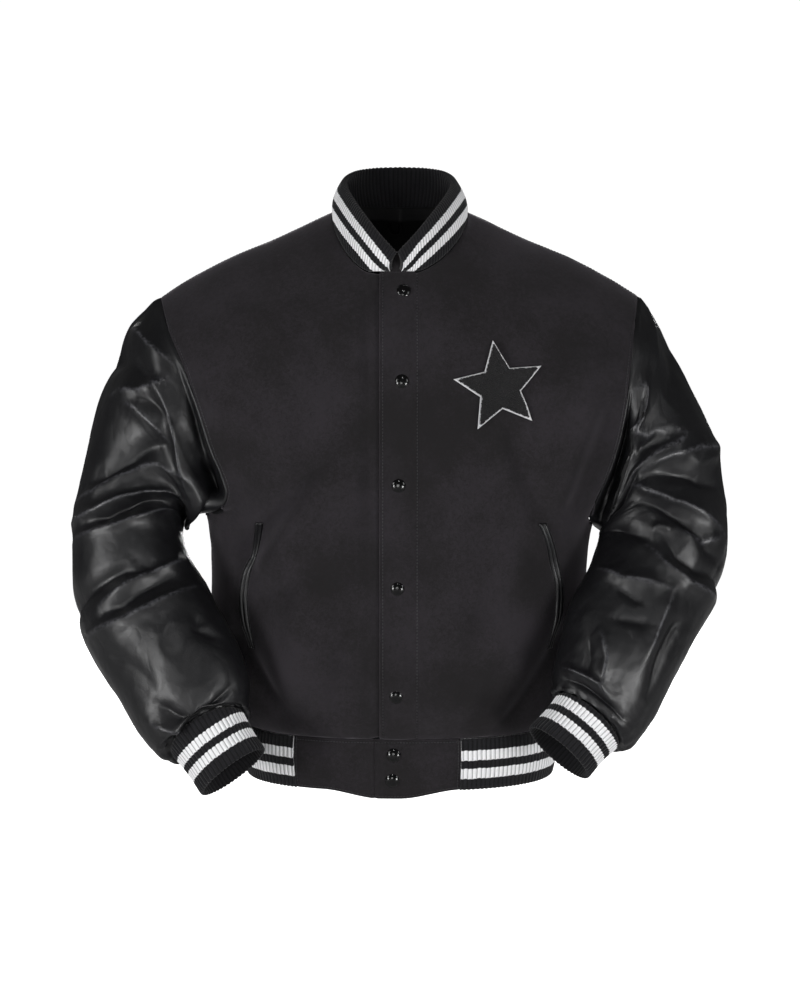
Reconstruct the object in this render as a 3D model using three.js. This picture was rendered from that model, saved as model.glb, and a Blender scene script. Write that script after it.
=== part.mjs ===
// A varsity jacket at its real size, filled out as if worn: black wool body, black leather
// sleeves, striped rib collar, cuffs and hem band, snap front. Millimetres, +Z up.
// The front faces -Y and +X is the side of the front that laps over the other one.
// Shapes are worked out with heights above the lowest point of the hem. The whole jacket is
// then lowered, so that the origin lies between the shoulders, where a wearer carries it.
import * as THREE from "three";

const V = (x, y, z) => new THREE.Vector3(x, y, z);

// Driving sizes
const HELD_HEIGHT = 605;
const WOOL_WALL = 2.2;
const LEATHER_WALL = 1.7;
const RIB_WALL = 2.6;
const COLLAR_WALL = 4.6;
const SEAM_GAP = 0.3;
const LAY_GAP = 0.5;
const HEM_SEAM_HEIGHT = 66;
const UNDERARM_LIFT = { left: 15, right: 0 };
const UNDERARM_FADE_HEIGHT = 370;
const RIDGE_DEPTH = 5;
const NECK_HALF_WIDTH = 73.5;
const NECK_FRONT_HEIGHT = 563;
const NECK_BACK_HEIGHT = 618;
const NECK_CURVE = 0.72;
const TIP_OUT = { left: 262, right: 260 };
const LAP_EDGE = -21;
const LAP_STITCH = 18;
const UNDER_EDGE = 18;
const UNDER_STEP = [34, 23.5];
const UNDER_MIDDLE = -2;
const UNDER_DROP = 3.1;

// How finely each piece is divided
const NECK_COLUMNS = 4;
const SHOULDER_COLUMNS = 6;
const ARMHOLE_ROWS = 10;
const PANEL_COLUMNS = NECK_COLUMNS + SHOULDER_COLUMNS;
const AROUND_SLEEVE = 2 * ARMHOLE_ROWS;
const SLEEVE_STEPS = 21;

// How far a row between the underarm and the shoulder follows the armhole's own height
const FOLLOW_ARMHOLE = 0.6;

// Flat sizes that a sleeve's folds are measured on: its length, and millimetres a degree
const SLEEVE_LENGTH = 480;
const SLEEVE_ARC = 1.25;

// Body sections: half widths on each side, depth of the front and of the back
const SECTIONS = [
  { height: 66, left: 173, right: 173, front: 119, back: 112 },
  { height: 80, left: 185, right: 185, front: 126, back: 120 },
  { height: 104, left: 197, right: 196, front: 133, back: 127 },
  { height: 160, left: 206, right: 205, front: 139, back: 131 },
  { height: 285, left: 211, right: 210, front: 143, back: 131 },
  { height: 340, left: 232, right: 246, front: 142, back: 130 },
  { height: 420, left: 266, right: 284, front: 139, back: 128 },
  { height: 513, left: 318, right: 334, front: 122, back: 119 },
  { height: 563, left: 330, right: 346, front: 106, back: 112 },
  { height: 650, left: 330, right: 346, front: 84, back: 96 },
];

// The shoulder line, from the centre outwards
const SHOULDER = [
  { out: 0, height: 652 },
  { out: 40, height: 639 },
  { out: 74, height: 625 },
  { out: 134, height: 597 },
  { out: 182, height: 577 },
  { out: 229, height: 553 },
  { out: 262, height: 532 },
  { out: 300, height: 504 },
];

// The armhole seam: how far out it runs on each front, and how much further on the back
const ARMHOLE = [
  { height: 285, left: 211, right: 210, back: 0 },
  { height: 288, left: 207, right: 208, back: 0.5 },
  { height: 296, left: 190, right: 204, back: 3 },
  { height: 314, left: 184, right: 210, back: 8 },
  { height: 345, left: 190, right: 223, back: 9 },
  { height: 378, left: 202, right: 233, back: 8 },
  { height: 420, left: 215, right: 241, back: 6 },
  { height: 461, left: 230, right: 246, back: 4 },
  { height: 500, left: 249, right: 252, back: 2 },
  { height: 532, left: 262, right: 260, back: 0 },
];

// Rows of the body below the underarm
const LOWER_HEIGHTS = [66, 80, 104, 150, 205, 245, 285];

// Soft folds of the body: a straight line on the front from one end to the other, its height
// above or below the cloth and its half width
const FRONT_FOLDS = [
  { x0: -96, z0: 355, x1: -165, z1: 262, rise: -5, width: 20 },
  { x0: -52, z0: 345, x1: -118, z1: 150, rise: 5, width: 30 },
  { x0: 222, z0: 405, x1: 186, z1: 315, rise: -4, width: 14 },
  { x0: 120, z0: 395, x1: 150, z1: 310, rise: -5, width: 18 },
  { x0: 178, z0: 170, x1: 120, z1: 84, rise: -4, width: 18 },
  { x0: -178, z0: 165, x1: -120, z1: 82, rise: -4, width: 18 },
  { x0: 60, z0: 190, x1: 30, z1: 84, rise: 3, width: 24 },
];
const BACK_FOLDS = [
  { x0: -150, z0: 400, x1: -60, z1: 250, rise: -5, width: 24 },
  { x0: 150, z0: 405, x1: 70, z1: 240, rise: -5, width: 24 },
  { x0: -120, z0: 170, x1: -150, z1: 84, rise: -4, width: 18 },
  { x0: 118, z0: 180, x1: 150, z1: 84, rise: -4, width: 18 },
  { x0: 10, z0: 200, x1: 0, z1: 84, rise: 4, width: 26 },
];

// Sleeve sections: the outer and the inner point of the outline seen from the front, how far
// the section's middle lies from the side seam's plane, and its half size front to back
const SLEEVE_LEFT = [
  { outX: 301, outZ: 496, inX: 218, inZ: 297, depth: 0, round: 82 },
  { outX: 327, outZ: 437, inX: 226, inZ: 294, depth: -8, round: 76 },
  { outX: 342, outZ: 367, inX: 232, inZ: 291, depth: -21, round: 72 },
  { outX: 353, outZ: 308, inX: 237, inZ: 286, depth: -34, round: 70 },
  { outX: 354, outZ: 250, inX: 234, inZ: 270, depth: -50, round: 69 },
  { outX: 346, outZ: 185, inX: 216, inZ: 238, depth: -76, round: 67 },
  { outX: 322, outZ: 143, inX: 192, inZ: 204, depth: -104, round: 65 },
  { outX: 296, outZ: 109, inX: 172, inZ: 173, depth: -128, round: 61 },
  { outX: 273, outZ: 76, inX: 161, inZ: 138, depth: -146, round: 55 },
  { outX: 252, outZ: 56, inX: 163, inZ: 112, depth: -157, round: 46 },
  { outX: 238, outZ: 57, inX: 167, inZ: 107, depth: -161, round: 36 },
];
const SLEEVE_RIGHT = [
  { outX: 280, outZ: 503, inX: 216, inZ: 281, depth: 0, round: 82 },
  { outX: 312, outZ: 448, inX: 219, inZ: 277, depth: -8, round: 77 },
  { outX: 342, outZ: 378, inX: 219, inZ: 273, depth: -21, round: 73 },
  { outX: 352, outZ: 319, inX: 216, inZ: 267, depth: -34, round: 71 },
  { outX: 355, outZ: 266, inX: 211, inZ: 257, depth: -52, round: 69 },
  { outX: 342, outZ: 212, inX: 195, inZ: 229, depth: -80, round: 67 },
  { outX: 315, outZ: 172, inX: 180, inZ: 206, depth: -106, round: 64 },
  { outX: 291, outZ: 135, inX: 171, inZ: 176, depth: -129, round: 60 },
  { outX: 265, outZ: 92, inX: 163, inZ: 148, depth: -147, round: 53 },
  { outX: 243, outZ: 68, inX: 164, inZ: 132, depth: -157, round: 45 },
  { outX: 227, outZ: 66, inX: 168, inZ: 125, depth: -161, round: 36 },
];

// The largest folds of each sleeve. Along runs from 0 at the armhole to 1 at the cuff, around
// in degrees from the outer edge over the front; rise is out of the sleeve
const FOLDS_LEFT = [
  { along0: 0.04, around0: 20, along1: 0.1, around1: 95, rise: 6, width: 14 },
  { along0: 0.12, around0: 5, along1: 0.1, around1: 110, rise: -8, width: 14 },
  { along0: 0.22, around0: 10, along1: 0.3, around1: 100, rise: 7, width: 15 },
  { along0: 0.3, around0: 40, along1: 0.42, around1: 150, rise: -8, width: 14 },
  { along0: 0.44, around0: -15, along1: 0.4, around1: 150, rise: -9, width: 13 },
  { along0: 0.5, around0: 20, along1: 0.5, around1: 140, rise: 6, width: 16 },
  { along0: 0.6, around0: -20, along1: 0.55, around1: 130, rise: -9, width: 13 },
  { along0: 0.74, around0: 60, along1: 0.78, around1: 130, rise: 5, width: 20 },
  { along0: 0.9, around0: -60, along1: 0.9, around1: 60, rise: 5, width: 14 },
  { along0: 0.3, around0: 190, along1: 0.42, around1: 290, rise: -8, width: 16 },
  { along0: 0.5, around0: 180, along1: 0.56, around1: 320, rise: -8, width: 15 },
  { along0: 0.78, around0: 200, along1: 0.7, around1: 330, rise: -6, width: 15 },
];
const FOLDS_RIGHT = [
  { along0: 0.06, around0: 10, along1: 0.12, around1: 95, rise: 6, width: 15 },
  { along0: 0.2, around0: 20, along1: 0.26, around1: 120, rise: -8, width: 15 },
  { along0: 0.3, around0: 5, along1: 0.36, around1: 110, rise: 8, width: 14 },
  { along0: 0.37, around0: -20, along1: 0.42, around1: 120, rise: -9, width: 13 },
  { along0: 0.47, around0: 0, along1: 0.5, around1: 100, rise: 7, width: 14 },
  { along0: 0.56, around0: 20, along1: 0.52, around1: 150, rise: -8, width: 14 },
  { along0: 0.62, around0: -20, along1: 0.64, around1: 70, rise: -7, width: 14 },
  { along0: 0.76, around0: 60, along1: 0.72, around1: 150, rise: 5, width: 20 },
  { along0: 0.9, around0: -60, along1: 0.9, around1: 60, rise: 5, width: 14 },
  { along0: 0.32, around0: 190, along1: 0.4, around1: 290, rise: -8, width: 16 },
  { along0: 0.52, around0: 180, along1: 0.56, around1: 320, rise: -8, width: 15 },
  { along0: 0.76, around0: 200, along1: 0.7, around1: 330, rise: -6, width: 15 },
];

// Cuffs: number and height of the ribs, and the section at each open end
const CUFF = { ribs: 50, relief: 0.9 };
const CUFF_END_LEFT = { outX: 206, outZ: 20, inX: 143, inZ: 70, depth: -180, round: 33 };
const CUFF_END_RIGHT = { outX: 195, outZ: 38, inX: 137, inZ: 93, depth: -180, round: 33 };

// Hem band: rib from tab to tab around the back, and a wool tab at each front
const HEM = { ribs: 150, relief: 0.8 };
const TAB_LAP_EDGE = -27;
const TAB_RIGHT_END = 65;
const TAB_LEFT_END = -114;
const TAB_UNDER_EDGE = 12;
const TAB_DROOP = 9;

// Free edge of the collar, from the front over one side to the middle of the back
const COLLAR_TOP = [
  { round: 0, out: 3, depth: -101, height: 584 },
  { round: 0.18, out: 30, depth: -79, height: 615 },
  { round: 0.34, out: 46, depth: -50, height: 635 },
  { round: 0.5, out: 57, depth: -17, height: 651 },
  { round: 0.65, out: 60, depth: 14, height: 661 },
  { round: 0.8, out: 50, depth: 45, height: 668 },
  { round: 0.91, out: 28, depth: 66, height: 671 },
  { round: 1, out: 0, depth: 73, height: 672 },
];
const COLLAR = { ribs: 120, relief: 0.7, bulge: 4, rightEnd: 2, leftEnd: -11, lean: -3 };

// Snaps, from the neck down; the lowest two are on the hem tab
const SNAP = { radius: 7.3, height: 4.2 };
const SNAPS = [
  { x: 4, height: 543.5 },
  { x: 2, height: 450 },
  { x: -1.5, height: 341 },
  { x: -2.5, height: 231.5 },
  { x: -4, height: 115 },
  { x: -7, height: 47.5 },
  { x: -8.5, height: 20.5 },
];

// Pocket welts: the line of the opening, and the width and thickness of the leather
const WELT = { width: 11, wall: 1.8, steps: 9, lift: 0.8 };
const WELT_LINE = [
  { along: 0, out: 152, height: 297 },
  { along: 0.3, out: 164, height: 258 },
  { along: 0.6, out: 171, height: 216 },
  { along: 1, out: 165, height: 160 },
];

// Chest patch: a star of chenille on a felt star a little larger
const PATCH = { x: 104, height: 444, felt: 49, chenille: 41, waist: 0.46, lean: 8 };
const FELT_WALL = 1.4;
const CHENILLE_WALL = 3;

// Back neck lining and the hanger loop on it
const LINING = { rows: 4, wall: 0.9, columns: 3, tuck: 0.12 };
const LOOP = { x: -6, height: 612, width: 15, drop: 10, radius: 1.2, steps: 10, sides: 8 };

// Curves through the rows of a table: each named column as a smooth function of the first
function tableAt(table, value) {
  const key = Object.keys(table[0])[0];
  const last = table.length - 1;
  const up = table[last][key] > table[0][key];
  let i = 0;
  while (i < last - 1 && (up ? value > table[i + 1][key] : value < table[i + 1][key])) i += 1;
  const span = table[i + 1][key] - table[i][key];
  const t = THREE.MathUtils.clamp((value - table[i][key]) / span, 0, 1);
  const result = {};
  for (const column of Object.keys(table[0])) {
    const slope = (j) => {
      const a = Math.max(j - 1, 0);
      const b = Math.min(j + 1, last);
      return (table[b][column] - table[a][column]) / (table[b][key] - table[a][key]);
    };
    const p = table[i][column];
    const q = table[i + 1][column];
    const m = slope(i) * span;
    const n = slope(i + 1) * span;
    const t2 = t * t;
    const t3 = t2 * t;
    result[column] = p * (2 * t3 - 3 * t2 + 1) + m * (t3 - 2 * t2 + t)
      + q * (3 * t2 - 2 * t3) + n * (t3 - t2);
  }
  return result;
}

const shoulderHeight = (x) => tableAt(SHOULDER, Math.abs(x)).height;

// A rounded profile from 0 at the ridge to 1 where the cloth hangs straight
const ROUNDING = 1.8;
function rounded(t) {
  const c = THREE.MathUtils.clamp(t, 0, 1);
  return (1 - (1 - c) ** ROUNDING) ** (1 / ROUNDING);
}

// Depth of the front (face -1) or the back (face 1) at a place seen from the front
const SECTION_POWER = 2.4;
const SHOULDER_REACH = { front: 150, back: 125 };
function bodyDepth(x, height, face) {
  const section = tableAt(SECTIONS, height);
  const half = x < 0 ? section.left : section.right;
  const across = Math.min(Math.abs(x) / half, 1);
  const full = (face < 0 ? section.front : section.back)
    * (1 - across ** SECTION_POWER) ** (1 / SECTION_POWER);
  const reach = face < 0 ? SHOULDER_REACH.front : SHOULDER_REACH.back;
  const over = rounded((shoulderHeight(x) - height) / reach);
  return face * full * over + RIDGE_DEPTH * (1 - over);
}

// Height of a soft fold at a place, falling off to its sides and its ends
function softLine(u, v, u0, v0, u1, v1, width) {
  const du = u1 - u0;
  const dv = v1 - v0;
  const t = THREE.MathUtils.clamp(((u - u0) * du + (v - v0) * dv) / (du * du + dv * dv), 0, 1);
  const gap = Math.hypot(u - u0 - t * du, v - v0 - t * dv);
  return Math.exp(-((gap / width) ** 2));
}

function bodyFold(x, height, face) {
  const folds = face < 0 ? FRONT_FOLDS : BACK_FOLDS;
  const total = folds.reduce(
    (sum, f) => sum + f.rise * softLine(x, height, f.x0, f.z0, f.x1, f.z1, f.width),
    0,
  );
  const toHem = THREE.MathUtils.smoothstep(height, HEM_SEAM_HEIGHT, HEM_SEAM_HEIGHT + 30);
  return total * toHem;
}

// The armhole seam from the underarm to the shoulder tip, evenly divided
function armholePoints(side, face) {
  const sideName = side < 0 ? "left" : "right";
  const through = ARMHOLE.map((row) => {
    const x = side * (row[sideName] + (face > 0 ? row.back : 0));
    const fade = 1 - THREE.MathUtils.smoothstep(row.height, ARMHOLE[0].height, UNDERARM_FADE_HEIGHT);
    const height = row.height + UNDERARM_LIFT[sideName] * fade;
    return V(x, row === ARMHOLE[0] ? 0 : bodyDepth(x, height, face), height);
  });
  through[through.length - 1].set(
    side * TIP_OUT[sideName], RIDGE_DEPTH, shoulderHeight(TIP_OUT[sideName]),
  );
  return new THREE.CatmullRomCurve3(through, false, "centripetal").getSpacedPoints(ARMHOLE_ROWS);
}

// Neckline from its middle to the neck point, at parts of a quarter turn
function necklinePoint(part, side, face, start) {
  const angle = (part * Math.PI) / 2;
  const x = start + (NECK_HALF_WIDTH - start) * Math.sin(angle);
  const middle = face < 0 ? NECK_FRONT_HEIGHT : NECK_BACK_HEIGHT;
  const end = shoulderHeight(NECK_HALF_WIDTH);
  const height = middle + (end - middle) * (1 - Math.cos(angle)) ** NECK_CURVE;
  return V(side * x, part === 1 ? RIDGE_DEPTH : bodyDepth(side * x, height, face), height);
}

// One half of the front or back: rows from the hem seam up, columns from the line at start
// out to the side seam and armhole
function halfPanel(side, face, start) {
  const armhole = armholePoints(side, face);
  const sideName = side < 0 ? "left" : "right";
  const sweep = (j) => Math.sin(((j / PANEL_COLUMNS) * Math.PI) / 2);
  const rows = [];
  const lowest = LOWER_HEIGHTS[0];
  const highest = LOWER_HEIGHTS[LOWER_HEIGHTS.length - 1];
  for (const level of LOWER_HEIGHTS) {
    const half = tableAt(SECTIONS, level)[sideName];
    const lift = UNDERARM_LIFT[sideName] * ((level - lowest) / (highest - lowest));
    const row = [];
    for (let j = 0; j <= PANEL_COLUMNS; j += 1) {
      const x = side * (start + (half - start) * sweep(j));
      const height = level + lift * (j / PANEL_COLUMNS) ** 2;
      row.push(V(x, j === PANEL_COLUMNS ? 0 : bodyDepth(x, height, face), height));
    }
    rows.push(row);
  }
  const bottom = rows[rows.length - 1];
  const tip = armhole[ARMHOLE_ROWS];
  const top = [];
  for (let j = 0; j <= PANEL_COLUMNS; j += 1) {
    if (j <= NECK_COLUMNS) {
      top.push(necklinePoint(j / NECK_COLUMNS, side, face, start));
    } else {
      const out = THREE.MathUtils.lerp(
        NECK_HALF_WIDTH, Math.abs(tip.x), (j - NECK_COLUMNS) / SHOULDER_COLUMNS,
      );
      top.push(V(side * out, RIDGE_DEPTH, shoulderHeight(out)));
    }
  }
  for (let i = 1; i <= ARMHOLE_ROWS; i += 1) {
    const v = i / ARMHOLE_ROWS;
    const rise = (armhole[i].z - bottom[PANEL_COLUMNS].z) / (tip.z - bottom[PANEL_COLUMNS].z);
    const w = THREE.MathUtils.lerp(v, rise, FOLLOW_ARMHOLE);
    const row = [];
    for (let j = 0; j <= PANEL_COLUMNS; j += 1) {
      const u = j / PANEL_COLUMNS;
      const inner = {
        x: THREE.MathUtils.lerp(bottom[0].x, top[0].x, w),
        z: THREE.MathUtils.lerp(bottom[0].z, top[0].z, w),
      };
      const blend = (axis) => {
        const upDown = (1 - w) * bottom[j][axis] + w * top[j][axis];
        const inOut = (1 - u) * inner[axis] + u * armhole[i][axis];
        const corners = (1 - w) * ((1 - u) * bottom[0][axis] + u * bottom[PANEL_COLUMNS][axis])
          + w * ((1 - u) * top[0][axis] + u * top[PANEL_COLUMNS][axis]);
        return upDown + inOut - corners;
      };
      if (j === PANEL_COLUMNS) row.push(armhole[i].clone());
      else if (i === ARMHOLE_ROWS) row.push(top[j].clone());
      else {
        const x = blend("x");
        const height = blend("z");
        row.push(V(x, bodyDepth(x, height, face), height));
      }
    }
    rows.push(row);
  }
  return rows;
}

// Columns added on the other side of the line where a half panel starts, for the lap
function addLap(rows, columns, face) {
  return rows.map((row) => {
    const extra = columns.map((x) => V(x, bodyDepth(x, row[0].z, face), row[0].z));
    return [...extra, ...row];
  });
}

// Normals of a grid, facing away from a middle point given for each vertex
function gridNormals(rows, closed, middle) {
  const last = rows.length - 1;
  const count = rows[0].length;
  let facing = 0;
  const normals = rows.map((row, i) => row.map((point, j) => {
    const up = rows[Math.min(i + 1, last)][j].clone().sub(rows[Math.max(i - 1, 0)][j]);
    const next = closed ? (j + 1) % count : Math.min(j + 1, count - 1);
    const before = closed ? (j + count - 1) % count : Math.max(j - 1, 0);
    const across = row[next].clone().sub(row[before]);
    const normal = across.cross(up).normalize();
    facing += normal.dot(point.clone().sub(middle(i, j)));
    return normal;
  }));
  if (facing < 0) normals.flat().forEach((n) => n.negate());
  return normals;
}

// Moves points out along their normals
function displace(rows, normals, amount) {
  rows.forEach((row, i) => row.forEach((p, j) => p.addScaledVector(normals[i][j], amount(i, j, p))));
}

// Where two pieces meet, both take the mean of their normals, so their rims lie face to face
const seamKey = (p) => [p.x, p.y, p.z].map((c) => Math.round(c * 50)).join();
function shareNormals(pieces, flatten) {
  const sums = new Map();
  for (const { rows, normals } of pieces) {
    rows.forEach((row, i) => row.forEach((p, j) => {
      const key = seamKey(p);
      if (!sums.has(key)) sums.set(key, V(0, 0, 0));
      sums.get(key).add(normals[i][j]);
    }));
  }
  for (const { rows, normals } of pieces) {
    rows.forEach((row, i) => row.forEach((p, j) => {
      normals[i][j].copy(sums.get(seamKey(p)));
      flatten(p, normals[i][j]);
      normals[i][j].normalize();
    }));
  }
}

// Half of the seam gap, taken off a piece along each of its edges. A body panel also gives
// way downwards at the underarm, and a sleeve a little more all round its ends
const SLEEVE_EASE = 0.15;
function pullIn(rows, normals, closed) {
  const last = rows.length - 1;
  const right = rows[0].length - 1;
  const step = (from, to, n) => {
    const d = to.clone().sub(from);
    d.addScaledVector(n, -d.dot(n)).normalize();
    return d.multiplyScalar(SEAM_GAP / 2 + (closed ? SLEEVE_EASE : 0));
  };
  return rows.map((row, i) => row.map((p, j) => {
    const moved = p.clone();
    if (i === 0) moved.add(step(p, rows[1][j], normals[i][j]));
    if (i === last) moved.add(step(p, rows[last - 1][j], normals[i][j]));
    if (!closed && j === 0) moved.add(step(p, row[1], normals[i][j]));
    if (!closed && j === right) moved.add(step(p, row[right - 1], normals[i][j]));
    const underarm = rows.length > LOWER_HEIGHTS.length && i === LOWER_HEIGHTS.length - 1;
    if (!closed && underarm && (j === 0 || j === right)) {
      moved.add(step(p, rows[i - 1][j], normals[i][j]).multiplyScalar(2));
    }
    return moved;
  }));
}

// A closed body from vertices and triangles, turned to face out
function solid(points, triangles) {
  let volume = 0;
  for (const [a, b, c] of triangles) {
    volume += points[a].dot(points[b].clone().cross(points[c]));
  }
  const index = volume < 0 ? triangles.map(([a, b, c]) => [a, c, b]) : triangles;
  const geometry = new THREE.BufferGeometry();
  geometry.setAttribute("position", new THREE.Float32BufferAttribute(
    points.flatMap((p) => [p.x, p.y, p.z]), 3,
  ));
  geometry.setIndex(index.flat());
  geometry.computeVertexNormals();
  return geometry;
}

// A strip of triangles between two lines of vertices that need not have the same number.
// Each square of an even strip is cut along its shorter diagonal
function bridge(points, first, second) {
  const triangles = [];
  const even = first.length === second.length;
  let i = 0;
  let j = 0;
  while (i < first.length - 1 || j < second.length - 1) {
    let takeFirst = (i + 1) / (first.length - 1) <= (j + 1) / (second.length - 1);
    if (even && i === j) {
      const ahead = points[first[i + 1]].distanceTo(points[second[j]]);
      takeFirst = ahead <= points[first[i]].distanceTo(points[second[j + 1]]);
    }
    if (j === second.length - 1 || (i < first.length - 1 && takeFirst)) {
      triangles.push([first[i], first[i + 1], second[j]]);
      i += 1;
    } else {
      triangles.push([first[i], second[j + 1], second[j]]);
      j += 1;
    }
  }
  return triangles;
}

// A wall between an outer grid and an inner grid. Both have the same rows; the inner one may
// have fewer columns. A closed wall runs round and joins its own start
function shell(outer, inner, closed) {
  const points = [...outer.flat(), ...inner.flat()];
  const start = outer.flat().length;
  const at = (grid, offset) => (i, j) => offset + i * grid[0].length + (j % grid[0].length);
  const line = (grid, index, i) => {
    const count = grid[0].length + (closed ? 1 : 0);
    return Array.from({ length: count }, (_, j) => index(i, j));
  };
  const outerAt = at(outer, 0);
  const innerAt = at(inner, start);
  const triangles = [];
  const last = outer.length - 1;
  for (let i = 0; i < last; i += 1) {
    triangles.push(...bridge(points, line(outer, outerAt, i), line(outer, outerAt, i + 1)));
    triangles.push(...bridge(points, line(inner, innerAt, i + 1), line(inner, innerAt, i)));
  }
  triangles.push(...bridge(points, line(inner, innerAt, 0), line(outer, outerAt, 0)));
  triangles.push(...bridge(points, line(outer, outerAt, last), line(inner, innerAt, last)));
  if (!closed) {
    const edge = (grid, index, j) => grid.map((_, i) => index(i, j));
    const outerEnd = outer[0].length - 1;
    const innerEnd = inner[0].length - 1;
    triangles.push(...bridge(points, edge(outer, outerAt, 0), edge(inner, innerAt, 0)));
    triangles.push(...bridge(points, edge(inner, innerAt, innerEnd), edge(outer, outerAt, outerEnd)));
  }
  return solid(points, triangles);
}

function wallOf(piece, wall) {
  const outer = pullIn(piece.rows, piece.normals, piece.closed);
  const inner = outer.map((row, i) => row.map(
    (p, j) => p.clone().addScaledVector(piece.normals[i][j], -wall),
  ));
  return shell(outer, inner, piece.closed);
}

// Materials
const fabric = (color, roughness) => new THREE.MeshStandardMaterial({ color, roughness });
const WOOL = fabric(0x1b1a1c, 0.95);
const LEATHER = new THREE.MeshStandardMaterial({ color: 0x111113, roughness: 0.38 });
const RIB = fabric(0x19191c, 0.9);
const LINING_CLOTH = fabric(0x121214, 0.55);
const FELT = fabric(0xe9e9ea, 0.95);
const CHENILLE = fabric(0x131318, 1);
const SNAP_ENAMEL = new THREE.MeshStandardMaterial({ color: 0x0b0b0d, roughness: 0.12 });

const jacket = new THREE.Group();
jacket.position.z = -HELD_HEIGHT;
function add(name, geometry, material) {
  const mesh = new THREE.Mesh(geometry, material);
  mesh.name = name;
  jacket.add(mesh);
}

// Body panels. The lapping front runs past the middle; the one below steps in behind it
const bodyMiddle = (rows) => (i, j) => V(0, 0, rows[i][j].z);
function bodyPiece(rows, face) {
  const normals = gridNormals(rows, false, bodyMiddle(rows));
  displace(rows, normals, (i, j, p) => {
    const onSeam = i === 0 || i === rows.length - 1 || j === rows[0].length - 1
      || (face > 0 && j === 0);
    return onSeam ? 0 : bodyFold(p.x, p.z, face);
  });
  return { rows, normals: gridNormals(rows, false, bodyMiddle(rows)), closed: false };
}

const frontRight = bodyPiece(
  addLap(halfPanel(1, -1, LAP_STITCH), [LAP_EDGE, (LAP_EDGE + LAP_STITCH) / 2], -1), -1,
);
const underColumns = [UNDER_EDGE, UNDER_MIDDLE, -UNDER_STEP[1]];
const frontLeft = bodyPiece(addLap(halfPanel(-1, -1, UNDER_STEP[0]), underColumns, -1), -1);
displace(frontLeft.rows, frontLeft.normals, (i, j) => (j < underColumns.length ? -UNDER_DROP : 0));
const backHalf = (side) => halfPanel(side, 1, 0);
const backRows = backHalf(-1).map((row, i) => [...row].reverse().concat(backHalf(1)[i].slice(1)));
const back = bodyPiece(backRows, 1);

// Sleeves: the first ring is the armhole seam, the others are rounded sections. They blend
// into each other over the cap
const CAP_BLEND = 0.3;
function sleeveRings(side, table, folds) {
  const front = armholePoints(side, -1);
  const rear = armholePoints(side, 1);
  const cap = [];
  for (let k = 0; k < AROUND_SLEEVE; k += 1) {
    cap.push(k <= ARMHOLE_ROWS ? front[ARMHOLE_ROWS - k] : rear[k - ARMHOLE_ROWS]);
  }
  const stations = table.map((row) => ({
    outer: V(side * row.outX, row.depth, row.outZ),
    inner: V(side * row.inX, row.depth, row.inZ),
    round: row.round,
  }));
  const start = cap.reduce((sum, p) => sum.add(p), V(0, 0, 0)).divideScalar(AROUND_SLEEVE);
  const outerLine = new THREE.CatmullRomCurve3([cap[0], ...stations.map((s) => s.outer)]);
  const innerLine = new THREE.CatmullRomCurve3([cap[ARMHOLE_ROWS], ...stations.map((s) => s.inner)]);
  const middleLine = new THREE.CatmullRomCurve3([
    start, ...stations.map((s) => s.outer.clone().add(s.inner).multiplyScalar(0.5)),
  ]);
  const capMiddle = cap[0].clone().add(cap[ARMHOLE_ROWS]).multiplyScalar(0.5);
  const rounds = [stations[0].round, ...stations.map((s) => s.round)];
  const rows = [];
  for (let i = 0; i <= SLEEVE_STEPS; i += 1) {
    const t = i / SLEEVE_STEPS;
    const outer = outerLine.getPoint(t);
    const inner = innerLine.getPoint(t);
    const middle = outer.clone().add(inner).multiplyScalar(0.5);
    const half = outer.clone().sub(inner).multiplyScalar(0.5);
    const tangent = middleLine.getTangent(t);
    const forward = tangent.clone().cross(half).multiplyScalar(side).normalize();
    if (forward.y > 0) forward.negate();
    const place = t * (rounds.length - 1);
    const k0 = Math.min(Math.floor(place), rounds.length - 2);
    const round = THREE.MathUtils.lerp(rounds[k0], rounds[k0 + 1], place - k0);
    const blend = THREE.MathUtils.smoothstep(t, 0, CAP_BLEND);
    rows.push(cap.map((seam, k) => {
      const angle = (2 * Math.PI * k) / AROUND_SLEEVE;
      const section = middle.clone().addScaledVector(half, Math.cos(angle))
        .addScaledVector(forward, round * Math.sin(angle));
      const fromCap = seam.clone().add(middle).sub(capMiddle);
      return i === 0 ? seam.clone() : fromCap.lerp(section, blend);
    }));
  }
  const middleOf = (i) => rows[i].reduce((sum, p) => sum.add(p), V(0, 0, 0))
    .divideScalar(AROUND_SLEEVE);
  const middles = rows.map((_, i) => middleOf(i));
  const normals = gridNormals(rows, true, (i) => middles[i]);
  displace(rows, normals, (i, j) => {
    if (i === 0 || i === SLEEVE_STEPS) return 0;
    const along = (i / SLEEVE_STEPS) * SLEEVE_LENGTH;
    const around = (360 * j) / AROUND_SLEEVE;
    return folds.reduce((sum, f) => {
      const near = [-360, 0, 360].map((turn) => softLine(
        along, (around + turn) * SLEEVE_ARC, f.along0 * SLEEVE_LENGTH, f.around0 * SLEEVE_ARC,
        f.along1 * SLEEVE_LENGTH, f.around1 * SLEEVE_ARC, f.width,
      ));
      return sum + f.rise * Math.max(...near);
    }, 0);
  });
  return { rows, normals: gridNormals(rows, true, (i) => middles[i]), closed: true };
}

const sleeveLeft = sleeveRings(-1, SLEEVE_LEFT, FOLDS_LEFT);
const sleeveRight = sleeveRings(1, SLEEVE_RIGHT, FOLDS_RIGHT);

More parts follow.
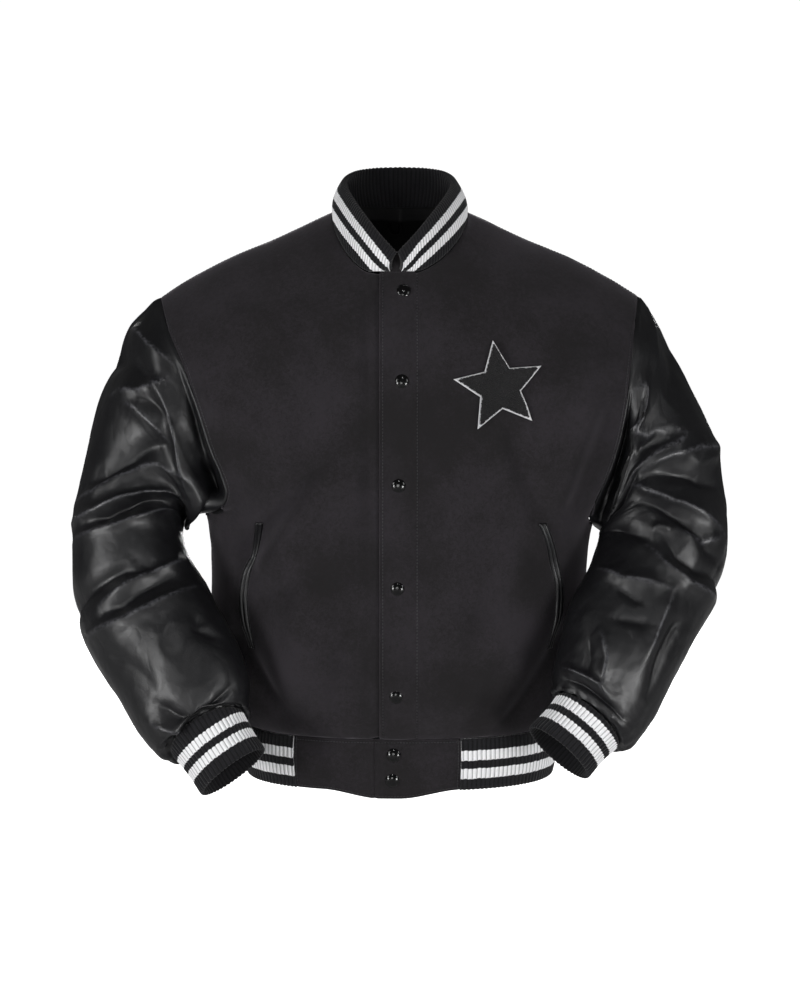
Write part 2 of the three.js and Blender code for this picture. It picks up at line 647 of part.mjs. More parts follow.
// At the hem seam the rims lie level, and at a cuff seam they lie in the plane of the ring
const ringPlane = (piece) => {
  const ring = piece.rows[SLEEVE_STEPS];
  const third = AROUND_SLEEVE / 3;
  const a = ring[0];
  const b = ring[Math.round(third)];
  const c = ring[Math.round(2 * third)];
  return { ring, normal: b.clone().sub(a).cross(c.clone().sub(a)).normalize() };
};
const cuffSeams = [ringPlane(sleeveLeft), ringPlane(sleeveRight)];
shareNormals([frontRight, frontLeft, back, sleeveLeft, sleeveRight], (p, n) => {
  if (Math.abs(p.z - HEM_SEAM_HEIGHT) < 0.01) n.z = 0;
  for (const seam of cuffSeams) {
    if (seam.ring.includes(p)) n.addScaledVector(seam.normal, -n.dot(seam.normal));
  }
});

add("front_right", wallOf(frontRight, WOOL_WALL), WOOL);
add("front_left", wallOf(frontLeft, WOOL_WALL), WOOL);
add("back", wallOf(back, WOOL_WALL), WOOL);
add("sleeve_left", wallOf(sleeveLeft, LEATHER_WALL), LEATHER);
add("sleeve_right", wallOf(sleeveRight, LEATHER_WALL), LEATHER);

// Rib bands: fine ridges in the outer points, a plain inner wall
function ribWall({ surface, ribs, rows, innerColumns, relief, wall, closed }) {
  const count = 2 * ribs + (closed ? 0 : 1);
  const grid = (columns, point) => Array.from({ length: rows + 1 }, (_, i) => Array.from(
    { length: columns }, (_unused, j) => point(i, j),
  ));
  const outer = grid(count, (i, j) => {
    const { p, n } = surface(j / (2 * ribs), i / rows);
    return p.clone().addScaledVector(n, j % 2 === 1 ? relief : 0);
  });
  const inner = grid(innerColumns + (closed ? 0 : 1), (i, j) => {
    const { p, n } = surface(j / innerColumns, i / rows);
    return p.clone().addScaledVector(n, -wall);
  });
  return shell(outer, inner, closed);
}

// A place on a line of points, by its share of the whole, straight between neighbours
function onLine(points, share) {
  const place = THREE.MathUtils.clamp(share, 0, 1) * (points.length - 1);
  const k = Math.min(Math.floor(place), points.length - 2);
  return points[k].clone().lerp(points[k + 1], place - k);
}

// Cuffs
function cuff(name, side, sleeve, end) {
  const ring = [...sleeve.rows[SLEEVE_STEPS], sleeve.rows[SLEEVE_STEPS][0]];
  const ringNormals = [...sleeve.normals[SLEEVE_STEPS], sleeve.normals[SLEEVE_STEPS][0]];
  const outer = V(side * end.outX, end.depth, end.outZ);
  const inner = V(side * end.inX, end.depth, end.inZ);
  const middle = outer.clone().add(inner).multiplyScalar(0.5);
  const half = outer.clone().sub(inner).multiplyScalar(0.5);
  const seamMiddle = ring.slice(1).reduce((s, p) => s.add(p), V(0, 0, 0))
    .divideScalar(AROUND_SLEEVE);
  const axis = middle.clone().sub(seamMiddle).normalize();
  const forward = axis.clone().cross(half).normalize();
  if (forward.y > 0) forward.negate();
  const surface = (round, down) => {
    const angle = round * 2 * Math.PI;
    const away = half.clone().multiplyScalar(Math.cos(angle))
      .addScaledVector(forward, end.round * Math.sin(angle));
    const endPoint = middle.clone().add(away);
    const seamPoint = onLine(ring, round).addScaledVector(axis, SEAM_GAP);
    const seamNormal = onLine(ringNormals, round).normalize();
    const p = seamPoint.lerp(endPoint, down);
    return { p, n: seamNormal.lerp(away.clone().normalize(), down).normalize() };
  };
  add(name, ribWall({
    surface, ribs: CUFF.ribs, rows: 2, innerColumns: AROUND_SLEEVE,
    relief: CUFF.relief, wall: RIB_WALL, closed: true,
  }), RIB);
}
cuff("cuff_left", -1, sleeveLeft, CUFF_END_LEFT);
cuff("cuff_right", 1, sleeveRight, CUFF_END_RIGHT);

// Hem band. Its top edge follows the body's lowest row; round is 0 at the middle of the
// front, and runs over the right side to the back and on to the left side
const seamRow = [
  ...frontRight.rows[0].slice(2),
  ...[...back.rows[0]].reverse().slice(1),
  ...[...frontLeft.rows[0].slice(3)].reverse().slice(1),
];
const seamNormals = [
  ...frontRight.normals[0].slice(2),
  ...[...back.normals[0]].reverse().slice(1),
  ...[...frontLeft.normals[0].slice(3)].reverse().slice(1),
];
const seamPlace = (x) => {
  if (x > UNDER_STEP[0] * -1 && x < LAP_STITCH) {
    return { p: V(x, bodyDepth(x, HEM_SEAM_HEIGHT, -1), HEM_SEAM_HEIGHT), n: V(0, -1, 0) };
  }
  const list = x > 0 ? seamRow : [...seamRow].reverse();
  let k = 0;
  while (Math.abs(list[k + 1].x) < Math.abs(x)) k += 1;
  const part = (x - list[k].x) / (list[k + 1].x - list[k].x);
  const place = (k + part) / (seamRow.length - 1);
  const share = x > 0 ? place : 1 - place;
  return { share, p: onLine(seamRow, share), n: onLine(seamNormals, share).normalize() };
};
const HEM_TUCK = 4;
const HEM_SWELL = 3;
function hemSurface({ p, n }, down, low) {
  const out = HEM_SWELL * Math.sin(down * Math.PI) - HEM_TUCK * down;
  const place = p.clone().addScaledVector(n, out);
  place.z = THREE.MathUtils.lerp(HEM_SEAM_HEIGHT - SEAM_GAP, low, down);
  return { p: place, n };
}
const ribStart = seamPlace(TAB_RIGHT_END + SEAM_GAP).share;
const ribEnd = seamPlace(TAB_LEFT_END - SEAM_GAP).share;
add("hem_rib", ribWall({
  surface: (round, down) => {
    const share = THREE.MathUtils.lerp(ribStart, ribEnd, round);
    const n = onLine(seamNormals, share).normalize();
    return hemSurface({ p: onLine(seamRow, share), n }, down, TAB_DROOP);
  },
  ribs: HEM.ribs, rows: 2, innerColumns: 60, relief: HEM.relief, wall: RIB_WALL, closed: false,
}), RIB);

// Wool tabs of the hem band, seen from the front as a strip that droops to the middle
const TAB_COLUMNS = 8;
function hemTab(name, from, to) {
  const places = Array.from({ length: TAB_COLUMNS + 1 }, (_, j) => (
    seamPlace(THREE.MathUtils.lerp(from, to, j / TAB_COLUMNS))
  ));
  const grid = [0, 0.5, 1].map((down) => places.map((place) => {
    const offMiddle = Math.abs(place.p.x - LAP_EDGE / 2);
    const low = TAB_DROOP * THREE.MathUtils.smoothstep(offMiddle, 10, 75);
    return hemSurface(place, down, low);
  }));
  const piece = {
    rows: grid.map((row) => row.map(({ p }) => p)),
    normals: grid.map((row) => row.map(({ n }) => n)),
    closed: false,
  };
  add(name, wallOf(piece, WOOL_WALL), WOOL);
  return piece;
}
const tabRight = hemTab("hem_tab_right", TAB_LAP_EDGE, TAB_RIGHT_END);
hemTab("hem_tab_left", TAB_LEFT_END, TAB_LAP_EDGE - 2 * SEAM_GAP);

// Collar. Its base follows the neckline, and its free edge the table
const neckRow = [
  ...frontRight.rows[frontRight.rows.length - 1].slice(2, 3 + NECK_COLUMNS),
  ...[...back.rows[back.rows.length - 1]].reverse()
    .slice(SHOULDER_COLUMNS + 1, SHOULDER_COLUMNS + 2 * NECK_COLUMNS + 1),
  ...[...frontLeft.rows[frontLeft.rows.length - 1].slice(3, 3 + NECK_COLUMNS)].reverse(),
];
const neckNormals = [
  ...frontRight.normals[frontRight.rows.length - 1].slice(2, 3 + NECK_COLUMNS),
  ...[...back.normals[back.rows.length - 1]].reverse()
    .slice(SHOULDER_COLUMNS + 1, SHOULDER_COLUMNS + 2 * NECK_COLUMNS + 1),
  ...[...frontLeft.normals[frontLeft.rows.length - 1].slice(3, 3 + NECK_COLUMNS)].reverse(),
];
const frontNeck = (x) => V(x, bodyDepth(x, NECK_FRONT_HEIGHT, -1), NECK_FRONT_HEIGHT);
neckRow.unshift(frontNeck(COLLAR.rightEnd));
neckNormals.unshift(neckNormals[0].clone());
neckRow.push(frontNeck(COLLAR.leftEnd));
neckNormals.push(neckNormals[neckNormals.length - 1].clone());
const collarBase = (share) => onLine(neckRow, share);
function collarTop(share) {
  const round = 1 - Math.abs(1 - 2 * share);
  const row = tableAt(COLLAR_TOP, round);
  const side = share < 0.5 ? 1 : -1;
  return V(side * row.out + COLLAR.lean * (1 - round), row.depth, row.height);
}
function collarSurface(share, up) {
  const base = collarBase(share);
  const top = collarTop(share);
  const ahead = Math.min(share + 0.01, 1);
  const behind = Math.max(share - 0.01, 0);
  const across = collarTop(ahead).sub(collarTop(behind));
  const rise = top.clone().sub(base);
  const n = across.cross(rise).normalize();
  if (n.dot(V(base.x, base.y, 0)) < 0) n.negate();
  const baseNormal = onLine(neckNormals, share).normalize();
  const p = base.lerp(top, up).addScaledVector(n, COLLAR.bulge * 4 * up * (1 - up));
  p.addScaledVector(rise.normalize(), SEAM_GAP * 2 * (1 - up));
  return { p, n: baseNormal.lerp(n, Math.min(1, 3 * up)).normalize() };
}
add("collar", ribWall({
  surface: collarSurface, ribs: COLLAR.ribs, rows: 3, innerColumns: 60,
  relief: COLLAR.relief, wall: COLLAR_WALL, closed: false,
}), RIB);

// A place on a piece's own facets, found by where it is seen from the front, with its normal
function onPiece(piece, x, height) {
  const { rows, normals } = piece;
  const flat = (p) => new THREE.Vector2(p.x, p.z);
  const area = (a, b, c) => (b.x - a.x) * (c.y - a.y) - (b.y - a.y) * (c.x - a.x);
  const target = new THREE.Vector2(x, height);
  for (let i = 0; i < rows.length - 1; i += 1) {
    for (let j = 0; j < rows[0].length - 1; j += 1) {
      const quad = [[i, j], [i, j + 1], [i + 1, j + 1], [i + 1, j]];
      const along = (k) => rows[quad[k][0]][quad[k][1]]
        .distanceTo(rows[quad[k + 2][0]][quad[k + 2][1]]);
      const halves = along(0) < along(1)
        ? [[quad[0], quad[1], quad[2]], [quad[0], quad[2], quad[3]]]
        : [[quad[0], quad[1], quad[3]], [quad[1], quad[2], quad[3]]];
      for (const corners of halves) {
        const [a, b, c] = corners.map(([r, s]) => flat(rows[r][s]));
        const whole = area(a, b, c);
        const shares = [area(target, b, c), area(a, target, c), area(a, b, target)]
          .map((part) => part / whole);
        if (whole !== 0 && shares.every((s) => s > -1e-6)) {
          const p = V(0, 0, 0);
          const n = V(0, 0, 0);
          corners.forEach(([r, s], k) => {
            p.addScaledVector(rows[r][s], shares[k]);
            n.addScaledVector(normals[r][s], shares[k]);
          });
          const [a3, b3, c3] = corners.map(([r, s]) => rows[r][s]);
          const facet = b3.clone().sub(a3).cross(c3.clone().sub(a3)).normalize();
          if (facet.dot(n) < 0) facet.negate();
          return { p, n: n.normalize(), facet };
        }
      }
    }
  }
  throw new Error(`no place on the piece at ${x}, ${height}`);
}

// Snaps
function snapGeometry() {
  const { radius, height } = SNAP;
  const profile = [
    new THREE.Vector2(0, 0),
    new THREE.Vector2(radius, 0),
    new THREE.Vector2(radius, height * 0.35),
    new THREE.Vector2(radius * 0.86, height * 0.72),
    new THREE.Vector2(radius * 0.5, height * 0.95),
    new THREE.Vector2(0, height),
  ];
  const lathe = new THREE.LatheGeometry(profile, 12);
  return lathe.rotateX(Math.PI / 2);
}
SNAPS.forEach((snap, k) => {
  const carrier = snap.height > HEM_SEAM_HEIGHT ? frontRight : tabRight;
  const { p, facet } = onPiece(carrier, snap.x, snap.height);
  const mesh = new THREE.Mesh(snapGeometry(), SNAP_ENAMEL);
  mesh.name = `snap_${k + 1}`;
  mesh.quaternion.setFromUnitVectors(V(0, 0, 1), facet);
  mesh.position.copy(p).addScaledVector(facet, LAY_GAP);
  jacket.add(mesh);
});

// Pocket welts, made from the front panels' points, moved out
function welt(name, side, piece) {
  const edge = (offset) => Array.from({ length: WELT.steps + 1 }, (_, k) => {
    const row = tableAt(WELT_LINE, k / WELT.steps);
    return onPiece(piece, side * (row.out + offset), row.height);
  });
  const lines = [edge(-WELT.width / 2), edge(0), edge(WELT.width / 2)];
  const lift = (amount) => lines.map((line) => line.map(
    ({ p, n }) => p.clone().addScaledVector(n, amount),
  ));
  add(name, shell(lift(WELT.lift + WELT.wall), lift(WELT.lift), false), LEATHER);
}
welt("pocket_welt_right", 1, frontRight);
welt("pocket_welt_left", -1, frontLeft);

// Chest patch: rings of a star outline laid on the front
function starLayer(name, size, low, high, material) {
  const perEdge = 3;
  const tips = 5;
  const count = tips * 2 * perEdge;
  const outline = Array.from({ length: count }, (_, k) => {
    const corner = Math.floor(k / perEdge);
    const part = (k % perEdge) / perEdge;
    const at = (c) => {
      const angle = ((c * 36 + 90 + PATCH.lean) * Math.PI) / 180;
      const radius = c % 2 === 0 ? size : size * PATCH.waist;
      return new THREE.Vector2(Math.cos(angle), Math.sin(angle)).multiplyScalar(radius);
    };
    return at(corner).lerp(at(corner + 1), part);
  });
  const place = (x, z, lift) => {
    const { p, n } = onPiece(frontRight, PATCH.x + x, PATCH.height + z);
    return p.addScaledVector(n, lift);
  };
  const shares = [0.34, 0.67, 1];
  const points = [];
  for (const lift of [high, low]) {
    points.push(place(0, 0, lift));
    for (const share of shares) {
      for (const o of outline) points.push(place(o.x * share, o.y * share, lift));
    }
  }
  const layer = 1 + shares.length * count;
  const triangles = [];
  for (let k = 0; k < count; k += 1) {
    const next = (k + 1) % count;
    for (const [offset, flip] of [[0, false], [layer, true]]) {
      const faces = [[offset, offset + 1 + k, offset + 1 + next]];
      for (let ring = 1; ring < shares.length; ring += 1) {
        const a = offset + 1 + (ring - 1) * count + k;
        const b = offset + 1 + (ring - 1) * count + next;
        faces.push([a, a + count, b + count], [a, b + count, b]);
      }
      triangles.push(...faces.map(([p, q, r]) => (flip ? [p, r, q] : [p, q, r])));
    }
    const top = 1 + (shares.length - 1) * count + k;
    const topNext = 1 + (shares.length - 1) * count + next;
    triangles.push([top, layer + top, layer + topNext], [top, layer + topNext, topNext]);
  }
  add(name, solid(points, triangles), material);
}
const FELT_LIFT = 0.95;
const CHENILLE_LIFT = FELT_LIFT + FELT_WALL + LAY_GAP;
starLayer("patch_felt", PATCH.felt, FELT_LIFT, FELT_LIFT + FELT_WALL, FELT);
starLayer(
  "patch_chenille", PATCH.chenille, CHENILLE_LIFT, CHENILLE_LIFT + CHENILLE_WALL, CHENILLE,
);

// Lining behind the neck, made from the back's points, moved in
const backTop = back.rows.length - 1;
const middleColumn = PANEL_COLUMNS;
const liningGrid = (depth) => {
  const grid = [];
  for (let i = backTop - LINING.rows; i <= backTop; i += 1) {
    const row = [];
    for (let j = middleColumn - LINING.columns; j <= middleColumn + LINING.columns; j += 1) {
      const inset = back.rows[i][j].clone().addScaledVector(back.normals[i][j], -depth);
      if (i === backTop) inset.lerp(back.rows[i - 1][j], LINING.tuck);
      row.push(inset);
    }
    grid.push(row);
  }
  return grid;
};
const liningDepth = WOOL_WALL + LAY_GAP;
add("neck_lining", shell(liningGrid(liningDepth), liningGrid(liningDepth + LINING.wall), false),
  LINING_CLOTH);

// Hanger loop, a round strap that hangs in a bow on the lining
const loopDepth = liningDepth + LINING.wall + LAY_GAP + LOOP.radius;
const loopPath = new THREE.CatmullRomCurve3([-1, -0.8, -0.35, 0.35, 0.8, 1].map((part) => {
  const sag = LOOP.drop * (1 - Math.abs(part) ** 3);
  const { p, n } = onPiece(back, LOOP.x + (part * LOOP.width) / 2, LOOP.height - sag);
  return p.addScaledVector(n, -loopDepth);
}));
const loopSection = new THREE.Shape(Array.from({ length: LOOP.sides }, (_, k) => {
  const angle = (2 * Math.PI * k) / LOOP.sides;
  return new THREE.Vector2(Math.cos(angle), Math.sin(angle)).multiplyScalar(LOOP.radius);
}));
add("hanger_loop", new THREE.ExtrudeGeometry(
  loopSection, { steps: LOOP.steps, extrudePath: loopPath, bevelEnabled: false },
), LINING_CLOTH);

export default jacket;
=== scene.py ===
# A varsity jacket, filled out as worn, dressed for its render: wool body, leather sleeves,
# striped rib bands, snaps, welts, a star patch and its sewing. The shapes repeat the part's own
# tables at a finer step, in millimetres above the hem, and go to metres when a mesh is made.
import math

import bpy
import numpy as np
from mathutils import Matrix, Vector


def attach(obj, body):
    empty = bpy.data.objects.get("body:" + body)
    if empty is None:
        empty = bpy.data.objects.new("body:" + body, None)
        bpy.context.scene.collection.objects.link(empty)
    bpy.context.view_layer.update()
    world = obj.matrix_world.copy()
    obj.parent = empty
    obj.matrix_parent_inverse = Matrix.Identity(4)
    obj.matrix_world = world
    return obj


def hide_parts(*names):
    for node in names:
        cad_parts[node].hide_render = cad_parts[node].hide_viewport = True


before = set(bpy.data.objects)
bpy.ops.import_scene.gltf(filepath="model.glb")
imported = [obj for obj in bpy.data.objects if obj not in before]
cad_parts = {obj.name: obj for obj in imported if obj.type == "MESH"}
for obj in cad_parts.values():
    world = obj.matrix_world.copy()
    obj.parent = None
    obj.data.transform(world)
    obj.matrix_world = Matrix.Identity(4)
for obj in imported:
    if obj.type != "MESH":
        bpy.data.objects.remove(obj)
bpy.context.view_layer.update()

# Sizes shared with the part, in millimetres
HELD_HEIGHT = 605.0
WOOL_WALL, LEATHER_WALL, RIB_WALL, COLLAR_WALL = 2.2, 1.7, 2.6, 4.6
HEM_SEAM, UNDERARM = 66.0, 285.0
UNDERARM_LIFT = {"left": 15.0, "right": 0.0}
RIDGE = 5.0
NECK_OUT, NECK_FRONT, NECK_BACK = 73.5, 563.0, 618.0
TIP_OUT = {"left": 262.0, "right": 260.0}
LAP_EDGE, LAP_STITCH = -21.0, 18.0
UNDER_EDGE, UNDER_FLAT, UNDER_START, UNDER_DROP = 18.0, 23.5, 34.0, 3.1
TAB_EDGE, TAB_RIGHT, TAB_LEFT, TAB_DROOP = -27.0, 65.0, -114.0, 9.0


def table(names, *rows):
    return dict(zip(names.split(), np.array(rows, float).T))


SECTIONS = table(
    "height left right front back",
    (66, 173, 173, 119, 112), (80, 185, 185, 126, 120), (104, 197, 196, 133, 127),
    (160, 206, 205, 139, 131), (285, 211, 210, 143, 131), (340, 232, 246, 142, 130),
    (420, 266, 284, 139, 128), (513, 318, 334, 122, 119), (563, 330, 346, 106, 112),
    (650, 330, 346, 84, 96),
)
SHOULDER = table(
    "out height",
    (0, 652), (40, 639), (74, 625), (134, 597), (182, 577), (229, 553), (262, 532), (300, 504),
)
ARMHOLE = table(
    "height left right back",
    (285, 211, 210, 0), (288, 207, 208, 0.5), (296, 190, 204, 3), (314, 184, 210, 8),
    (345, 190, 223, 9), (378, 202, 233, 8), (420, 215, 241, 6), (461, 230, 246, 4),
    (500, 249, 252, 2), (532, 262, 260, 0),
)
SLEEVE = {
    "left": table(
        "outX outZ inX inZ depth round",
        (301, 496, 218, 297, 0, 82), (327, 437, 226, 294, -8, 76), (342, 367, 232, 291, -21, 72),
        (353, 308, 237, 286, -34, 70), (354, 250, 234, 270, -50, 69),
        (346, 185, 216, 238, -76, 67), (322, 143, 192, 204, -104, 65),
        (296, 109, 172, 173, -128, 61), (273, 76, 161, 138, -146, 55),
        (252, 56, 163, 112, -157, 46), (238, 57, 167, 107, -161, 36),
    ),
    "right": table(
        "outX outZ inX inZ depth round",
        (280, 503, 216, 281, 0, 82), (312, 448, 219, 277, -8, 77), (342, 378, 219, 273, -21, 73),
        (352, 319, 216, 267, -34, 71), (355, 266, 211, 257, -52, 69),
        (342, 212, 195, 229, -80, 67), (315, 172, 180, 206, -106, 64),
        (291, 135, 171, 176, -129, 60), (265, 92, 163, 148, -147, 53),
        (243, 68, 164, 132, -157, 45), (227, 66, 168, 125, -161, 36),
    ),
}
CUFF_END = {
    "left": dict(outX=206, outZ=20, inX=143, inZ=70, depth=-180, round=33),
    "right": dict(outX=195, outZ=38, inX=137, inZ=93, depth=-180, round=33),
}
COLLAR_TOP = table(
    "round out depth height",
    (0, 3, -101, 584), (0.18, 30, -79, 615), (0.34, 46, -50, 635), (0.5, 57, -17, 651),
    (0.65, 60, 14, 661), (0.8, 50, 45, 668), (0.91, 28, 66, 671), (1, 0, 73, 672),
)
SNAPS = [(4, 543.5), (2, 450), (-1.5, 341), (-2.5, 231.5), (-4, 115), (-7, 47.5), (-8.5, 20.5)]
WELT_LINE = table(
    "along out height", (0, 152, 297), (0.3, 164, 258), (0.6, 171, 216), (1, 165, 160),
)
PATCH = dict(x=104.0, height=444.0, felt=49.0, chenille=44.0, waist=0.46, lean=8.0)

# Soft folds of the body panels: from, to, rise and half width, seen from the front
FRONT_FOLDS = [
    (-96, 355, -165, 262, -8, 12), (-78, 345, -142, 252, 6, 13), (-52, 345, -118, 150, 8, 26),
    (222, 405, 186, 315, -6, 14), (203, 415, 170, 320, 4, 14), (120, 395, 150, 310, -8, 13),
    (178, 170, 120, 84, -8, 13), (-178, 165, -120, 82, -8, 13), (60, 190, 30, 84, 6, 18),
    (110, 150, 80, 84, -6, 10), (-60, 150, -84, 84, -6, 10), (-205, 430, -120, 392, 6, 12),
    (205, 470, 140, 430, 6, 12), (-150, 520, -105, 470, 5, 14), (150, 250, 95, 205, -5, 15),
    (-140, 215, -90, 250, -5, 15), (-33, 90, -33, 540, -5.0, 7), (-90, 480, -48, 410, -4, 16),
    (-42, 300, -60, 110, -4, 14), (75, 330, 40, 200, 5, 20),
    (-128, 430, -104, 130, 5, 24), (-176, 330, -152, 110, -5, 18), (128, 240, 98, 90, 5, 20),
]
BACK_FOLDS = [
    (-150, 400, -60, 250, -5, 24), (150, 405, 70, 240, -5, 24), (-120, 170, -150, 84, -4, 18),
    (118, 180, 150, 84, -4, 18), (10, 200, 0, 84, 4, 26),
]


# Curves and surfaces
def table_at(columns, name, value):
    """A smooth curve through one column of a table, at places along its first column."""
    key = next(iter(columns.values()))
    column = columns[name]
    value = np.clip(value, key[0], key[-1])
    slope = np.empty_like(column)
    slope[1:-1] = (column[2:] - column[:-2]) / (key[2:] - key[:-2])
    slope[0] = (column[1] - column[0]) / (key[1] - key[0])
    slope[-1] = (column[-1] - column[-2]) / (key[-1] - key[-2])
    i = np.clip(np.searchsorted(key, value, "right") - 1, 0, len(key) - 2)
    span = key[i + 1] - key[i]
    s = (value - key[i]) / span
    s2, s3 = s * s, s * s * s
    return (
        column[i] * (2 * s3 - 3 * s2 + 1) + slope[i] * span * (s3 - 2 * s2 + s)
        + column[i + 1] * (3 * s2 - 2 * s3) + slope[i + 1] * span * (s3 - s2)
    )


def smooth(value, low, high):
    t = np.clip((value - low) / (high - low), 0, 1)
    return t * t * (3 - 2 * t)


def unit(v):
    return v / np.maximum(np.linalg.norm(v, axis=-1, keepdims=True), 1e-9)


def curve_at(points, t):
    """A centripetal Catmull-Rom curve, at parts of the way counted by its points."""
    points = np.asarray(points, float)
    place = np.clip(np.atleast_1d(t), 0, 1) * (len(points) - 1)
    k = np.minimum(place.astype(int), len(points) - 2)
    w = (place - k)[:, None]
    ends = np.vstack([2 * points[0] - points[1], points, 2 * points[-1] - points[-2]])
    p0, p1, p2, p3 = (ends[k + step] for step in range(4))
    gap = lambda a, b: np.maximum(np.sum((a - b) ** 2, 1) ** 0.25, 1e-4)[:, None]
    d0, d1, d2 = gap(p0, p1), gap(p1, p2), gap(p2, p3)
    m = ((p1 - p0) / d0 - (p2 - p0) / (d0 + d1) + (p2 - p1) / d1) * d1
    n = ((p2 - p1) / d1 - (p3 - p1) / (d1 + d2) + (p3 - p2) / d2) * d1
    return p1 + m * w + (3 * (p2 - p1) - 2 * m - n) * w**2 + (2 * (p1 - p2) + m + n) * w**3


def run_length(line):
    """How far along a line each of its points lies."""
    return np.concatenate([[0], np.cumsum(np.linalg.norm(np.diff(line, axis=0), axis=1))])


def sampled(place, along, values):
    """Each column of values, read at places along a line."""
    return np.stack([np.interp(place, along, column) for column in values.T], -1)


def spaced(points, shares, steps=400):
    """Places at even shares of the length of such a curve."""
    fine = curve_at(points, np.linspace(0, 1, steps + 1))
    length = run_length(fine)
    return sampled(np.asarray(shares) * length[-1], length, fine)


def shoulder_height(x):
    return table_at(SHOULDER, "height", np.abs(x))


def body_depth(x, height, face):
    """Depth of the front (face -1) or the back (face 1), seen from the front."""
    x, height = np.broadcast_arrays(np.asarray(x, float), np.asarray(height, float))
    half = np.where(
        x < 0, table_at(SECTIONS, "left", height), table_at(SECTIONS, "right", height)
    )
    across = np.minimum(np.abs(x) / half, 1)
    depth = table_at(SECTIONS, "front" if face < 0 else "back", height)
    full = depth * (1 - across**2.4) ** (1 / 2.4)
    t = np.clip((shoulder_height(x) - height) / (150 if face < 0 else 125), 0, 1)
    over = (1 - (1 - t) ** 1.8) ** (1 / 1.8)
    return face * full * over + RIDGE * (1 - over)


def on_body(x, height, face):
    return np.stack(np.broadcast_arrays(x, body_depth(x, height, face), height), -1)


def armhole(side, face, shares):
    """The armhole seam from the underarm up to the shoulder tip, at shares of its length."""
    name = "left" if side < 0 else "right"
    height = ARMHOLE["height"]
    x = side * (ARMHOLE[name] + (ARMHOLE["back"] if face > 0 else 0))
    z = height + UNDERARM_LIFT[name] * (1 - smooth(height, height[0], 370))
    points = on_body(x, z, face)
    points[0, 1] = 0
    tip = TIP_OUT[name]
    points[-1] = (side * tip, RIDGE, shoulder_height(tip))
    return spaced(points, shares)


def neckline(part, side, face, start):
    part = np.asarray(part, float)
    angle = part * math.pi / 2
    x = start + (NECK_OUT - start) * np.sin(angle)
    middle = NECK_FRONT if face < 0 else NECK_BACK
    height = middle + (shoulder_height(NECK_OUT) - middle) * (1 - np.cos(angle)) ** 0.72
    points = on_body(side * x, height, face)
    points[..., 1] = np.where(part >= 1, RIDGE, points[..., 1])
    return points


def half_panel(side, face, start, columns, heights, rises):
    """Half a front or back as a grid: rows from the hem seam up, columns outwards. Columns
    run from 0 to 10, of which 4 at the top end on the neckline; rises run from 0 to 1."""
    name = "left" if side < 0 else "right"
    sweep = np.sin(columns / 10 * math.pi / 2)
    rows = []
    for level in heights:
        lift = UNDERARM_LIFT[name] * (level - HEM_SEAM) / (UNDERARM - HEM_SEAM)
        height = level + lift * (columns / 10) ** 2
        half = table_at(SECTIONS, name, height)
        row = on_body(side * (start + (half - start) * sweep), height, face)
        row[-1, 1] = 0
        rows.append(row)
    bottom = rows[-1]
    out = NECK_OUT + (TIP_OUT[name] - NECK_OUT) * (columns - 4) / 6
    ridge = np.stack([side * out, np.full_like(out, RIDGE), shoulder_height(out)], -1)
    top = np.where(
        (columns <= 4)[:, None], neckline(np.minimum(columns / 4, 1), side, face, start), ridge
    )
    edge = armhole(side, face, rises)
    u = (columns / 10)[:, None]
    for v, side_point in zip(rises[1:], edge[1:]):
        rise = (side_point[2] - bottom[-1, 2]) / (top[-1, 2] - bottom[-1, 2])
        w = v + (rise - v) * 0.6
        inner = bottom[0] + (top[0] - bottom[0]) * w
        up_down = (1 - w) * bottom + w * top
        in_out = (1 - u) * inner + u * side_point
        corners = (1 - w) * ((1 - u) * bottom[0] + u * bottom[-1]) \
            + w * ((1 - u) * top[0] + u * top[-1])
        row = up_down + in_out - corners
        row[:, 1] = body_depth(row[:, 0], row[:, 2], face)
        row[-1] = side_point
        if v == rises[-1]:
            row = top.copy()
        rows.append(row)
    return np.array(rows)


def grid_normals(grid, closed):
    """Normals of a grid, facing away from the middle of the body or of the sleeve."""
    if closed:
        across = np.roll(grid, -1, 1) - np.roll(grid, 1, 1)
        middle = grid.mean(1, keepdims=True)
    else:
        across = np.gradient(grid, axis=1)
        middle = grid * (0, 0, 1)
    normals = unit(np.cross(across, np.gradient(grid, axis=0)))
    if np.sum(normals * (grid - middle)) < 0:
        normals = -normals
    return normals


def near_line(u, v, points):
    """Distance from a broken line, which side of it, and how far along it, from 0 to 1."""
    points = np.asarray(points, float)
    start = run_length(points)
    best, side, along = np.full(u.shape, 1e9), np.zeros(u.shape), np.zeros(u.shape)
    for a, b, size, done in zip(points[:-1], points[1:], np.diff(start), start):
        du, dv = (b - a) / max(size, 1e-9)
        t = np.clip((u - a[0]) * du + (v - a[1]) * dv, 0, size)
        gu, gv = u - a[0] - t * du, v - a[1] - t * dv
        gap = np.hypot(gu, gv)
        closer = gap < best
        best = np.where(closer, gap, best)
        side = np.where(closer, np.sign(du * gv - dv * gu), side)
        along = np.where(closer, (done + t) / start[-1], along)
    return best, side, along


def soft_noise(u, v, seed, wrap=64):
    """Smooth seeded noise from -1 to 1 on a plane, repeating after wrap cells in v."""
    lattice = np.random.default_rng(seed).uniform(-1, 1, (64, wrap))
    iu, iv = np.floor(u).astype(int), np.floor(v).astype(int)
    fu, fv = smooth(u - iu, 0, 1), smooth(v - iv, 0, 1)
    at = lambda a, b: lattice[(iu + a) % 64, (iv + b) % wrap]
    return (at(0, 0) * (1 - fu) + at(1, 0) * fu) * (1 - fv) \
        + (at(0, 1) * (1 - fu) + at(1, 1) * fu) * fv


# Mean girth and length of a sleeve, on which its creases are laid out
AROUND, LENGTH = 450.0, 480.0


